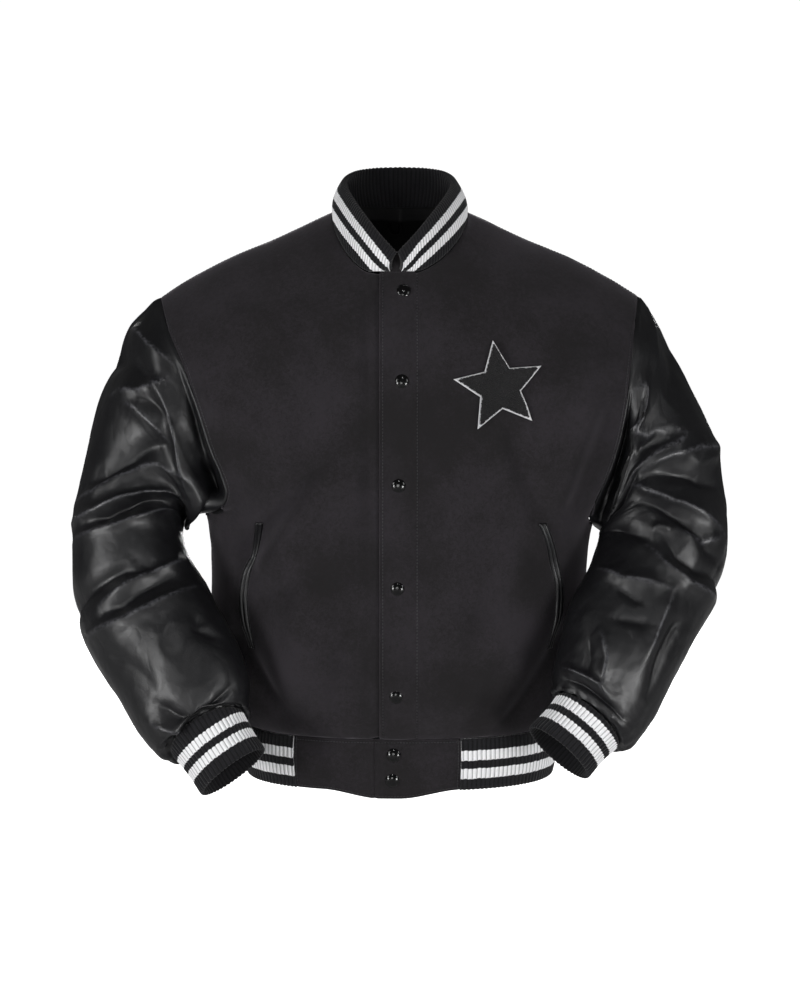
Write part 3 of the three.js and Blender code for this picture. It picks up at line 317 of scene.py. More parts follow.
def sleeve_grid(side, ring_count, shares):
    """A sleeve without its creases: rings from the armhole to the cuff seam."""
    rows = SLEEVE["left" if side < 0 else "right"]

    def seam_ring(count):
        turn = np.arange(count) / count * 2
        front = armhole(side, -1, np.clip(1 - turn, 0, 1))
        return np.where((turn <= 1)[:, None], front, armhole(side, 1, np.clip(turn - 1, 0, 1)))

    cap = seam_ring(ring_count)
    outer = np.stack([side * rows["outX"], rows["depth"], rows["outZ"]], -1)
    inner = np.stack([side * rows["inX"], rows["depth"], rows["inZ"]], -1)
    tip, under = armhole(side, -1, [1.0, 0.0])
    outer_line = np.vstack([tip, outer])
    inner_line = np.vstack([under, inner])
    middle_line = np.vstack([seam_ring(20).mean(0), (outer + inner) / 2])
    cap_middle = (tip + under) / 2
    rounds = np.concatenate([[rows["round"][0]], rows["round"]])
    angle = np.arange(ring_count) / ring_count * 2 * math.pi
    grid = []
    for t in shares:
        a, b = curve_at(outer_line, t)[0], curve_at(inner_line, t)[0]
        middle, half = (a + b) / 2, (a - b) / 2
        low, high = max(t - 1e-4, 0), min(t + 1e-4, 1)
        tangent = curve_at(middle_line, high)[0] - curve_at(middle_line, low)[0]
        forward = unit(np.cross(tangent, half))
        if forward[1] > 0:
            forward = -forward
        round_size = np.interp(t * (len(rounds) - 1), np.arange(len(rounds)), rounds)
        section = middle + np.cos(angle)[:, None] * half \
            + (round_size * np.sin(angle))[:, None] * forward
        blend = smooth(t, 0, 0.3)
        grid.append((cap + middle - cap_middle) * (1 - blend) + section * blend)
    grid = np.array(grid)
    grid[0] = cap
    return grid


# Creases of the leather: rise and the half widths on the two sides of its line, then the line
# as thousandths of the way along the sleeve and degrees around it, from the outer edge over
# the front. Those past 180 degrees are on the back.
CREASES = {
    "left": """
        6 10 12: 110 2, 70 34, 30 51; -8 9 14: 185 -20, 150 20, 120 45, 50 62;
        7 10 8: 200 30, 155 50, 100 56, 50 58; -5 7 7: 165 51, 115 70, 65 84;
        5 8 9: 190 45, 175 60, 140 86; -7 9 10: 340 30, 325 58, 265 76, 145 88, 60 92;
        5 9 12: 370 10, 355 50, 295 78, 190 100, 100 112;
        7 6 7: 400 10, 405 40, 395 62, 375 78, 350 94, 300 112, 200 125;
        -7 6 6: 415 50, 412 76, 385 98, 330 122; 6 6 12: 440 30, 440 62, 435 87, 405 112, 340 140;
        -4 7 8: 500 100, 540 117, 560 118;
        -8 7 9: 535 -10, 535 42, 533 68, 530 94, 545 108, 565 125;
        6 7 8: 575 60, 565 87, 556 105, 550 130, 520 160; -6 5 6: 592 62, 600 80, 585 104, 575 130;
        6 6 14: 600 30, 625 75, 625 100, 615 125, 600 150; -3 12 16: 640 40, 720 63, 780 75;
        3 16 16: 770 98, 710 92, 675 105, 690 130; -4 6 7: 665 142, 700 129, 730 150;
        -5 6 7: 800 66, 850 78, 895 92; 5 8 8: 830 50, 880 66, 930 80;
        -5 6 7: 905 95, 885 120, 840 145; -7 10 12: 300 190, 360 230, 420 290;
        6 9 12: 360 195, 410 240, 450 280; -7 9 11: 500 185, 520 240, 560 310;
        5 10 12: 560 190, 580 240, 600 290; -5 8 10: 650 200, 630 250, 600 300;
        -5 12 14: 80 250, 150 280, 200 315; 4 12 14: 150 235, 220 270, 260 300;
        -5 9 12: 780 200, 740 260, 700 330; 4 10 12: 830 210, 800 260, 780 310;
        -4 7 9: 890 215, 870 270, 860 310; -12 9 12: 20 56, 22 84, 27 99, 37 114, 55 128, 50 150;
        6 9 12: 95 62, 95 82, 115 98, 150 114; -22 20 18: 45 100, 55 120, 65 145;
        -7 9 12: 35 205, 30 235, 25 270""",
    "right": """
        6 5 9: 30 69, 65 63, 115 60, 135 67, 100 78, 90 86, 130 82, 195 75, 215 64, 240 51;
        5 6 7: 240 51, 255 46, 257 58, 238 78, 215 98, 235 106;
        -6 6 8: 165 90, 200 82, 235 68, 243 58;
        7 6 14: 225 106, 320 94, 390 79, 420 63, 440 48, 460 22;
        5 7 8: 242 92, 255 81, 280 56, 290 22, 285 -15; 3 5 6: 285 56, 310 44, 303 10;
        -7 8 9: 275 88, 320 66, 350 45, 360 15; -7 6 9: 350 104, 430 84, 470 66, 495 48, 505 20;
        5 6 7: 465 33, 487 54, 470 80; 4 4 5: 477 99, 460 96, 472 84;
        -7 7 9: 460 98, 525 76, 540 57, 527 9, 520 -25; 6 7 10: 500 104, 556 80, 575 60, 563 10;
        -6 7 8: 395 147, 455 126, 487 106, 530 90; 5 8 12: 550 145, 600 115, 603 72;
        -5 7 8: 640 40, 660 52, 720 56, 790 52; 5 9 10: 600 68, 635 69, 685 70, 755 70;
        -4 5 6: 612 122, 635 102, 645 88; -4 5 6: 690 112, 685 90, 680 76;
        5 6 8: 720 120, 765 107, 830 105; -4 6 7: 730 134, 780 126, 840 124;
        5 6 7: 820 155, 830 124, 837 108, 865 94; -5 6 7: 870 150, 875 124, 890 100, 900 70;
        4 14 16: 70 0, 130 30, 150 50; -5 14 14: 160 0, 190 30, 200 48;
        -7 10 12: 310 190, 370 235, 430 295; 6 9 12: 370 195, 420 245, 470 290;
        -7 9 11: 510 182, 540 240, 560 305; 5 10 12: 570 195, 600 245, 610 290;
        -5 8 10: 660 200, 650 255, 610 310; -5 12 14: 90 255, 160 280, 220 320;
        4 12 14: 170 240, 230 275, 280 305; -5 9 12: 770 205, 750 260, 710 325;
        4 10 12: 820 205, 810 255, 780 305; -4 7 9: 900 220, 880 275, 860 320;
        -12 9 12: 18 74, 20 100, 25 118, 30 134, 45 150; 5 9 11: 90 96, 100 118, 125 135;
        -15 18 16: 40 112, 50 130, 65 150; -6 9 9: 225 90, 255 112, 300 136;
        -7 9 12: 35 205, 30 235, 25 270""",
}


# Height of all creases together, how blunt a crest is, and from which rise a crest gets a painted
# highlight, and how wide that highlight is
CREASE_LIFT, CREASE_BLUNT, HIGHLIGHT_FROM, HIGHLIGHT_WIDTH = 1.25, 1.2, 4.5, 1.7


def creases(side_name, along, around):
    """Height of all the creases of a sleeve at places on it, and where their crests are, which the
    leather colours as a painted highlight.
    """
    total = np.zeros(along.shape)
    crest = np.zeros(along.shape)
    for crease in CREASES[side_name].split(";"):
        sizes, line = crease.split(":")
        rise, before, after = map(float, sizes.split())
        pairs = [map(float, pair.split()) for pair in line.split(",")]
        points = [(a / 1000 * LENGTH, b / 360 * AROUND) for a, b in pairs]
        turns = [near_line(along, around + turn, points) for turn in (-AROUND, 0, AROUND)]
        best, side, part = turns[0]
        for gap, which, share in turns[1:]:
            closer = gap < best
            best = np.where(closer, gap, best)
            side = np.where(closer, which, side)
            part = np.where(closer, share, part)
        width = np.where(side > 0, before, after)
        ends = 0.3 + 0.7 * smooth(np.minimum(part, 1 - part) / 0.3, 0, 1)
        slope = np.sqrt(best**2 + CREASE_BLUNT**2) - CREASE_BLUNT
        total += CREASE_LIFT * rise * ends * np.exp(-((slope / width) ** 1.15))
        # The crests of the higher creases are marked for a painted highlight along them.
        if rise > HIGHLIGHT_FROM:
            crest = np.maximum(crest, ends * np.exp(-((best / HIGHLIGHT_WIDTH) ** 2)))
    return total, crest


def body_fold(x, height, face):
    total = np.zeros(np.broadcast(x, height).shape)
    for x0, z0, x1, z1, rise, width in FRONT_FOLDS if face < 0 else BACK_FOLDS:
        gap, _, _ = near_line(x + 0 * height, height + 0 * x, [(x0, z0), (x1, z1)])
        total += rise * np.exp(-((gap / width) ** 2))
    total += 1.9 * soft_noise(x / 46 + 9, height / 70 + 9, 11 if face < 0 else 12)
    total += 0.35 * soft_noise(x / 17 + 9, height / 21 + 9, 13 if face < 0 else 14)
    return total * smooth(height, HEM_SEAM, HEM_SEAM + 30)


def front_place(x, height, lift=0.0):
    """A place on the front with its folds, and the way out of it."""
    x, height = np.asarray(x, float), np.asarray(height, float)
    across = (body_depth(x + 1, height, -1) - body_depth(x - 1, height, -1)) / 2
    rise = (body_depth(x, height + 1, -1) - body_depth(x, height - 1, -1)) / 2
    out = unit(np.stack([across, -np.ones_like(across), rise], -1))
    lift = body_fold(x, height, -1) + lift
    return on_body(x, height, -1) + out * lift[..., None], out


def edge_distance(grid, which):
    """How far each place of a grid lies from one of its edges, along the cloth."""
    axis = 1 if which in ("start", "end") else 0
    steps = np.linalg.norm(np.diff(grid, axis=axis), axis=-1)
    first = np.zeros_like(steps[:, :1] if axis else steps[:1])
    length = np.concatenate([first, np.cumsum(steps, axis)], axis)
    if which in ("end", "high"):
        length = (length[:, -1:] if axis else length[-1:]) - length
    return length


def roll_in(grid, normals, which, depth=1.1, reach=2.6):
    """Turns an edge under where it is sewn, so that the seam reads as a groove."""
    away = edge_distance(grid, which)
    return grid - normals * (depth * np.exp(-((away / reach) ** 2)))[..., None]


def pucker(grid, normals, which, along, seed, height=0.9, reach=16.0, pitch=13.0):
    """Short uneven gathers that run out of a seam."""
    away = edge_distance(grid, which)
    wave = soft_noise(along / pitch + 7, 0 * along + 0.5, seed)
    fade = np.exp(-away / reach) * smooth(away, 0, 2.5)
    return grid + normals * (height * wave * fade)[..., None]


# Making meshes
def cloth_mesh(name, points, faces, looks, face_looks=None, uv=None, fold=None):
    """An object at the origin from points in millimetres above the hem, facing outwards."""
    corners = [(f[0], f[k], f[k + 1]) for f in faces for k in range(1, len(f) - 1)]
    a, b, c = points[np.array(corners)].transpose(1, 0, 2)
    if np.sum(np.cross(a, b) * c) < 0:
        faces = [face[::-1] for face in faces]
    mesh = bpy.data.meshes.new(name)
    mesh.from_pydata(((points - (0, 0, HELD_HEIGHT)) * 0.001).tolist(), [], faces)
    for look in looks:
        mesh.materials.append(look)
    mesh.polygons.foreach_set("use_smooth", np.ones(len(faces), bool))
    if face_looks is not None:
        mesh.polygons.foreach_set("material_index", face_looks)
    if uv is not None:
        corner = np.zeros(len(mesh.loops), np.int32)
        mesh.loops.foreach_get("vertex_index", corner)
        layer = mesh.uv_layers.new(name="cloth")
        layer.data.foreach_set("uv", uv[corner].astype(np.float32).ravel())
    if fold is not None:
        attribute = mesh.attributes.new("fold", "FLOAT", "POINT")
        attribute.data.foreach_set("value", fold.astype(np.float32))
    mesh.update()
    piece = bpy.data.objects.new(name, mesh)
    bpy.context.scene.collection.objects.link(piece)
    return piece


def quads(ids, close_rows=False, close_columns=False, turned=False):
    """Faces between the points of a grid, which may run on from its last line to its first."""
    ids = np.pad(ids, ((0, int(close_rows)), (0, int(close_columns))), mode="wrap")
    faces = np.stack([ids[:-1, :-1], ids[:-1, 1:], ids[1:, 1:], ids[1:, :-1]], -1).reshape(-1, 4)
    return (faces[:, ::-1] if turned else faces).tolist()


def repeated(faces, size, count):
    """The faces of a small thing of size points, for each of its copies."""
    return [[v + size * n for v in face] for n in range(count) for face in faces]


def walled(name, grid, normals, wall, closed, looks, uv=None, fold=None):
    """A sheet with a wall, its edges rounded by one line of points half way through."""
    side = 0 if closed else 1
    inner = grid - normals * wall
    rim = ((1, 1), (side, side))
    spread = lambda values: np.pad(values, rim + ((0, 0),) * (values.ndim - 2), mode="edge")
    whole = spread((grid + inner) / 2)
    for edge in [whole] if closed else [whole, whole.swapaxes(0, 1)]:
        edge[0] += 0.4 * wall * unit(edge[1] - edge[2])
        edge[-1] += 0.4 * wall * unit(edge[-2] - edge[-3])
    core = (slice(1, -1), slice(side, whole.shape[1] - side))
    whole[core] = grid
    ids = np.arange(whole[..., 0].size).reshape(whole.shape[:2])
    inner_ids = ids.copy()
    inner_ids[core] = ids.size + np.arange(grid[..., 0].size).reshape(grid.shape[:2])
    outside = quads(ids, close_columns=closed)
    inside = quads(inner_ids, close_columns=closed, turned=True)
    both = lambda values, size: None if values is None else np.concatenate(
        [spread(values).reshape(size), values.reshape(size)])
    return cloth_mesh(
        name, np.concatenate([whole.reshape(-1, 3), inner.reshape(-1, 3)]), outside + inside,
        looks, np.repeat([0, 1], [len(outside), len(inside)]).astype(np.int32),
        both(uv, (-1, 2)), both(fold, -1),
    )


def rib_band(name, place, ribs, per_rib, levels, wall, relief, closed, look):
    """A knitted band folded double: place gives points and normals along it at a level from
    0 at its seam to 1 at its folded edge."""
    share = np.arange(ribs * per_rib + (0 if closed else 1)) / (ribs * per_rib)
    wave = (0.5 + 0.5 * np.cos(2 * math.pi * ribs * share)) ** 0.8
    seam, middle, before, top = (place(share, level)[0] for level in (0.0, 0.5, 0.85, 1.0))
    way = unit(top - before)
    length = np.linalg.norm(middle - seam, axis=1) + np.linalg.norm(top - middle, axis=1)
    stop = 1 - (wall / 2) / length
    rows, marks = [], []

    def add(points, out, fade, mark):
        rows.append(points + out * (relief * wave * fade)[:, None])
        marks.append(np.stack([share * ribs, mark + 0 * share], -1))

    seam_fade = lambda level: smooth(level * length.mean(), 0, 3)
    for level in np.linspace(0, 1, levels):
        point, out = place(share, level * stop)
        add(point, out, seam_fade(level), (1 - level * stop) * length)
    end, out = place(share, stop)
    for turn in np.linspace(0, math.pi, 7)[1:-1]:
        round_out = out * math.cos(turn) + way * math.sin(turn)
        add(end + (round_out - out) * wall / 2, round_out, 1, wall / 2 * (1 - turn))
    for level in np.linspace(1, 0, levels // 2):
        point, out = place(share, level * stop)
        add(point - out * wall, -out, 0.6 * seam_fade(level), -(1 - level * stop) * length - wall)
    ids = np.arange(len(rows) * len(share)).reshape(len(rows), -1)
    faces = quads(ids, close_rows=True, close_columns=closed)
    if not closed:
        last = len(rows) - 1
        for k in range(len(rows) // 2 - 1):
            cap = [k, k + 1, last - k - 1, last - k]
            faces += [ids[cap, 0].tolist(), ids[cap[::-1], -1].tolist()]
    return cloth_mesh(name, np.concatenate(rows), faces, [look], uv=np.concatenate(marks))


def stitches(name, path, out, look, pitch=3.6, length=2.7, radius=0.36, lift=0.1):
    """A row of sewn stitches along a path: each a small spindle that dips in at its ends."""
    along = run_length(path)
    count = max(int(along[-1] / pitch), 1)
    centre = (np.arange(count) + 0.5) / count * along[-1]
    normal = unit(sampled(centre, along, out))
    forward = unit(sampled(centre + 0.5, along, path) - sampled(centre - 0.5, along, path))
    sideways = unit(np.cross(forward, normal))
    middle = sampled(centre, along, path) + normal * lift
    rings = [(-0.5, 0.25, -0.5), (-0.25, 1, 0.1), (0.25, 1, 0.1), (0.5, 0.25, -0.5)]
    points = np.array([
        middle + forward * (place * length)
        + (sideways * math.cos(a) + normal * (math.sin(a) + rise)) * (radius * size)
        for place, size, rise in rings for a in np.arange(6) / 6 * 2 * math.pi
    ]).transpose(1, 0, 2)
    ends = [[0, 1, 2, 3], [0, 3, 4, 5], [23, 22, 21, 20], [23, 20, 19, 18]]
    faces = quads(np.arange(24).reshape(4, 6), close_columns=True) + ends
    return cloth_mesh(name, points.reshape(-1, 3), repeated(faces, 24, count), [look])


def beside(grid, normals, which, distance):
    """The line that runs at a distance beside one edge of a grid, and its normals."""
    if which in ("low", "high"):
        grid, normals = grid.swapaxes(0, 1), normals.swapaxes(0, 1)
    if which in ("end", "high"):
        grid, normals = grid[:, ::-1], normals[:, ::-1]
    away = edge_distance(grid, "start")
    return [np.array([sampled(distance, row, line) for row, line in zip(away, values)])
            for values in (grid, normals)]


# Materials
class Value:
    """A node's output to reckon with: each sign places a math node in the same tree."""

    def __init__(self, socket):
        self.socket = socket
        self.tree = socket.id_data

    def math(self, operation, other=0.0, clamp=False):
        return add_node(self.tree, "Math", {0: self, 1: other}, operation=operation,
                        use_clamp=clamp)

    def __add__(self, other):
        return self.math("ADD", other)

    def __sub__(self, other):
        return self.math("SUBTRACT", other)

    def __mul__(self, other):
        return self.math("MULTIPLY", other)

    def scaled(self, size):
        return add_node(self.tree, "VectorMath", {0: self, "Scale": size}, operation="SCALE")

    def ramp(self, low, high, to_low=0.0, to_high=1.0, kind="SMOOTHSTEP"):
        spans = {"From Min": low, "From Max": high, "To Min": to_low, "To Max": to_high}
        return add_node(self.tree, "MapRange", {"Value": self, **spans}, interpolation_type=kind)

    def mix(self, first, second):
        return add_node(self.tree, "Mix", {"Factor": self, "A": first, "B": second}, "Result",
                        data_type="RGBA")

    def noise(self, scale, detail, rough=0.5, bend=0.0, out=0):
        return add_node(self.tree, "TexNoise", {
            "Vector": self, "Scale": scale, "Detail": detail, "Roughness": rough,
            "Distortion": bend,
        }, out)

    def bump(self, strength, distance, **more):
        return add_node(self.tree, "Bump", {
            "Height": self, "Strength": strength, "Distance": distance, **more,
        })


def add_node(tree, kind, inputs=(), out=0, **settings):
    """Places a node, sets or links its inputs, and gives one of its outputs."""
    made = tree.nodes.new("ShaderNode" + kind)
    for key, value in settings.items():
        setattr(made, key, value)
    for key, value in dict(inputs).items():
        if isinstance(value, Value):
            tree.links.new(value.socket, made.inputs[key])
        else:
            made.inputs[key].default_value = value
    return Value(made.outputs[out])


RESULTS = {"Colour": "NodeSocketColor", "Roughness": "NodeSocketFloat",
           "Normal": "NodeSocketVector"}


def effect_group(name, build, **inputs):
    """A group with named inputs that puts out a colour, a roughness and a normal."""
    group = bpy.data.node_groups.new(name, "ShaderNodeTree")
    for label, value in inputs.items():
        kind = "NodeSocketFloat" if isinstance(value, float) else "NodeSocketColor"
        socket = group.interface.new_socket(name=label, in_out="INPUT", socket_type=kind)
        socket.default_value = value
    for label, kind in RESULTS.items():
        group.interface.new_socket(name=label, in_out="OUTPUT", socket_type=kind)
    start, end = group.nodes.new("NodeGroupInput"), group.nodes.new("NodeGroupOutput")
    where = add_node(group, "TexCoord", out="Object")
    given = {label: Value(start.outputs[label]) for label in inputs}
    for label, value in zip(RESULTS, build(group, where, given)):
        group.links.new(value.socket, end.inputs[label])
    return group


def nap(group, where, given):
    """Short felted fibres: fine mottled colour and a soft uneven surface."""
    fine = where.noise(given["Fibre"], 3.0, 0.7)
    clump = where.noise(given["Fibre"] * 0.22, 4.0, 0.65, 0.8)
    blend = fine * 0.45 + clump * 0.55 + (where.noise(11.0, 3.0) - 0.5) * 0.95
    rough = given["Roughness"] + (blend - 0.5) * 0.15
    return (blend.ramp(0.3, 0.72).mix(given["Dark"], given["Light"]),
            rough.math("MINIMUM", 1.0), blend.bump(given["Height"], 0.0007))


def grain(group, where, given):
    """Leather grain: small irregular cells, pores and finer lines, with a painted highlight on the
    crests.
    """
    warp = where.noise(160.0, 2.0, out="Color").scaled(0.0016)
    shifted = add_node(group, "VectorMath", {0: where, 1: warp}, operation="ADD")
    cells = add_node(group, "TexVoronoi", {"Vector": shifted, "Scale": given["Cell"]},
                     "Distance", feature="DISTANCE_TO_EDGE")
    pebble = cells.ramp(0.0, 0.32)
    broad, fine = where.noise(22.0, 5.0, 0.6), where.noise(240.0, 4.0, 0.6)
    # Painted highlight: the leather is coloured pale along the crests of the creases, broken up by
    # fine noise.
    crest = add_node(group, "Attribute", out="Fac", attribute_name="fold")
    crest_highlight = crest * fine.ramp(0.35, 0.6)
    tone = (crest_highlight * 0.8).math("ADD", pebble * 0.025 + broad * 0.04, clamp=True)
    crinkle = ((where.noise(24.0, 2.0, 0.5, 0.4) - 0.5).math("ABSOLUTE") * 2.0).math("POWER", 0.7)
    soft = pebble * 0.6 + fine * 0.9
    return (tone.mix(given["Dark"], given["Light"]),
            given["Roughness"] + (broad - 0.5) * 0.22 - crest * 0.1,
            soft.bump(given["Height"], 0.0006, Normal=crinkle.bump(given["Crinkle"], 0.0035)))


def knit(group, where, given):
    """Rib knit on the band's own map: ribs across, millimetres from the folded edge up."""
    uv = add_node(group, "UVMap", uv_map="cloth")
    rib, level = (add_node(group, "SeparateXYZ", {0: uv}, axis) for axis in (0, 1))
    centre = ((rib + 0.5).math("FRACT") - 0.5).math("ABSOLUTE")
    uneven = add_node(group, "TexWhiteNoise", {"W": (rib + 0.5).math("FLOOR")},
                      noise_dimensions="1D")
    place = level + ((uneven - 0.5) * given["Jag"] + centre * (given["Jag"] * 2.2))
    low, high = (
        (place - given[f"{stripe}From"]).ramp(-0.25, 0.25)
        - (place - given[f"{stripe}To"]).ramp(-0.25, 0.25) for stripe in ("Low", "High")
    )
    fuzz, patchy = where.noise(1300.0, 3.0, 0.7), where.noise(60.0, 2.0)
    # Painted shade: the yarn and the white stripes are darker in the valleys between the ribs.
    dark = centre.ramp(0.22, 0.47).mix(given["Yarn"], given["Valley"])
    shade = (fuzz * 0.6 + patchy * 0.4).ramp(0.3, 0.7, 0.68, 1.12)
    pale = centre.ramp(0.3, 0.5, 1.0, 0.42) * fuzz.ramp(0.3, 0.7, 0.93, 1.03)
    course = ((level + centre * 2.4) * 4.2).math("SINE")
    return (low.math("ADD", high, clamp=True).mix(dark.scaled(shade), given["Stripe"].scaled(pale)),
            fuzz.ramp(0.3, 0.7, 0.82, 0.98),
            (course * 0.35 + fuzz * 0.8).bump(given["Height"], 0.0005))


BLACK = (0, 0, 0, 1)
NAP = effect_group("felted_nap", nap, Dark=BLACK, Light=BLACK, Fibre=900.0, Height=0.3,
                   Roughness=0.95)
GRAIN = effect_group("leather_grain", grain, Dark=BLACK, Light=BLACK, Cell=620.0, Height=0.25,
                     Crinkle=0.0, Roughness=0.36)
KNIT = effect_group("rib_knit", knit, Yarn=BLACK, Valley=BLACK, Stripe=(1, 1, 1, 1),
                    LowFrom=12.0, LowTo=19.0, HighFrom=26.0, HighTo=33.0, Jag=0.7, Height=0.6)


def finish_of(name, group=None, values=(), **sockets):
    """A material: one effect group with its own values, feeding a Principled shader."""
    look = bpy.data.materials.new(name)
    look.use_nodes = True
    tree = look.node_tree
    shader = next(n for n in tree.nodes if n.type == "BSDF_PRINCIPLED")
    for socket, value in sockets.items():
        shader.inputs[socket.replace("_", " ").title().replace("Ior", "IOR")].default_value = value
    if group:
        effect = tree.nodes.new("ShaderNodeGroup")
        effect.node_tree = group
        for key, value in values.items():
            effect.inputs[key].default_value = value
        for label, socket in zip(RESULTS, ("Base Color", "Roughness", "Normal")):
            tree.links.new(effect.outputs[label], shader.inputs[socket])
    return look


def toned(dark, light, **values):
    return {"Dark": (*dark, 1), "Light": (*light, 1), **values}


wool = finish_of("melton_wool", NAP, toned(
    (0.009, 0.008, 0.0086), (0.0222, 0.0194, 0.023), Fibre=1100.0, Height=0.4, Roughness=0.94,
), sheen_weight=0.22, sheen_roughness=0.45, sheen_tint=(0.78, 0.72, 0.8, 1),
    specular_ior_level=0.25)
# The pale tone is mostly the painted highlight along the crests of the creases.
leather = finish_of("sleeve_leather", GRAIN, toned(
    (0.0024, 0.0024, 0.0032), (0.085, 0.085, 0.094), Cell=650.0, Height=0.16, Crinkle=0.17,
    Roughness=0.43,
), specular_ior_level=0.46, coat_weight=0.14, coat_roughness=0.3)
# The darker valley colour is painted shade between the ribs.
collar_knit, cuff_knit, hem_knit = (
    finish_of(f"{band}_knit", KNIT, dict(
        Yarn=(0.0115, 0.0113, 0.0135, 1), Valley=(0.004, 0.004, 0.005, 1),
        Stripe=(0.95, 0.95, 0.965, 1), Height=0.6,
        LowFrom=edges[0], LowTo=edges[1], HighFrom=edges[2], HighTo=edges[3], Jag=jag,
    ), sheen_weight=0.15, sheen_roughness=0.5, specular_ior_level=0.2)
    for band, edges, jag in (
        ("collar", (11.0, 20.0, 28.0, 38.0), 0.5), ("cuff", (15.0, 26.0, 34.0, 45.0), 0.6),
        ("hem", (13.0, 24.5, 33.5, 44.5), 0.7),
    )
)
felt = finish_of("white_felt", NAP, toned(
    (0.66, 0.66, 0.68), (0.86, 0.86, 0.87), Fibre=1200.0, Height=0.5, Roughness=0.95,
), sheen_weight=0.2, sheen_roughness=0.5)
chenille = finish_of("chenille_pile", NAP, toned(
    (0.004, 0.0038, 0.0042), (0.016, 0.015, 0.0165), Fibre=1500.0, Height=0.8, Roughness=0.92,
), sheen_weight=0.2, sheen_roughness=0.4, sheen_tint=(0.8, 0.78, 0.82, 1))
satin = finish_of("satin_lining", NAP, toned(
    (0.003, 0.003, 0.0034), (0.006, 0.006, 0.0066), Fibre=700.0, Height=0.12, Roughness=0.55,
), specular_ior_level=0.2)
thread = finish_of("sewing_thread", NAP, toned(
    (0.012, 0.012, 0.014), (0.035, 0.035, 0.038), Fibre=2400.0, Height=0.3, Roughness=0.5,
), specular_ior_level=0.5)
white_thread = finish_of("white_thread", NAP, toned(
    (0.55, 0.55, 0.56), (0.8, 0.8, 0.8), Fibre=2400.0, Height=0.3, Roughness=0.6,
))
enamel = finish_of("snap_enamel", GRAIN, toned(
    (0.0012, 0.0012, 0.0014), (0.003, 0.003, 0.0034), Cell=900.0, Height=0.01, Roughness=0.15,
), specular_ior_level=0.5)


def settle(piece, slot, *nodes, cut=None, held="hung", share=1.0, rests_on=()):
    """Puts a finished piece on the jacket in place of the plain solids named. Cut, the rectangle of
    cloth that a sheet comes from, and share, how much of it is used, are not used."""
    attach(piece, "root")
    if nodes:
        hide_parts(*nodes)


# Body panels: columns from 0 in the middle to 10 at the side, and levels up to the underarm
COLUMNS = np.concatenate([
    [0, 0.12, 0.28], np.linspace(0.45, 9.6, 56), [9.72, 9.82, 9.9, 9.96, 10.0],
])
LEVELS = np.concatenate([[66, 67.4, 69.2, 72], np.linspace(76, UNDERARM, 38)])
RISES = np.concatenate([[0], np.linspace(0.02, 0.975, 46), [0.985, 0.993, 1]])


def panel(name, grid, face, seams, node, width, lift=0.0):
    normals = grid_normals(grid, False)
    rise = body_fold(grid[..., 0], grid[..., 2], face)
    for which in seams:
        rise = rise * smooth(edge_distance(grid, which), 0, 24)
    grid = grid + normals * (rise + lift)[..., None]
    for which in seams:
        line = grid[..., 2] if which in ("start", "end") else grid[..., 0]
        grid = pucker(grid, normals, which, line, seed=len(name) + len(which))
        grid = roll_in(grid, normals, which)
    normals = grid_normals(grid, False)
    settle(walled(name, grid, normals, WOOL_WALL, False, [wool, satin]), "wool", node,
           cut=(width, 0.58), share=0.87)
    return grid, normals


lap = np.linspace(LAP_EDGE, LAP_STITCH, 12)[:-1]
right_half = half_panel(1, -1, LAP_STITCH, COLUMNS, LEVELS, RISES)
grid = np.concatenate([on_body(lap[None, :], right_half[:, :1, 2], -1), right_half], 1)
valley = np.exp(-(((grid[..., 0] - LAP_STITCH) / 1.6) ** 2)) * -0.7
swell = 1.5 * np.sin(np.clip((grid[..., 0] - LAP_EDGE) / (LAP_STITCH - LAP_EDGE), 0, 1) * math.pi)
front_right = panel("wool_front_right", grid, -1, ("end", "low", "high"), "front_right", 0.33,
                    valley + swell)

under = np.linspace(UNDER_EDGE, -UNDER_FLAT, 12)
step = np.linspace(-UNDER_FLAT, -UNDER_START, 5)[1:-1]
left_half = half_panel(-1, -1, UNDER_START, COLUMNS, LEVELS, RISES)
extra = on_body(np.concatenate([under, step])[None, :], left_half[:, :1, 2], -1)
grid = np.concatenate([extra, left_half], 1)
drop = np.zeros(grid.shape[:2])
drop[:, :12] = -UNDER_DROP
drop[:, 12:15] = -UNDER_DROP * (1 - smooth(np.arange(1, 4) / 4, 0, 1))
front_left = panel("wool_front_left", grid, -1, ("end", "low", "high"), "front_left", 0.33, drop)

back_right = half_panel(1, 1, 0, COLUMNS, LEVELS, RISES)
back_left = half_panel(-1, 1, 0, COLUMNS, LEVELS, RISES)
grid = np.concatenate([back_left[:, ::-1], back_right[:, 1:]], 1)
back = panel("wool_back", grid, 1, ("start", "end", "low", "high"), "back", 0.61)


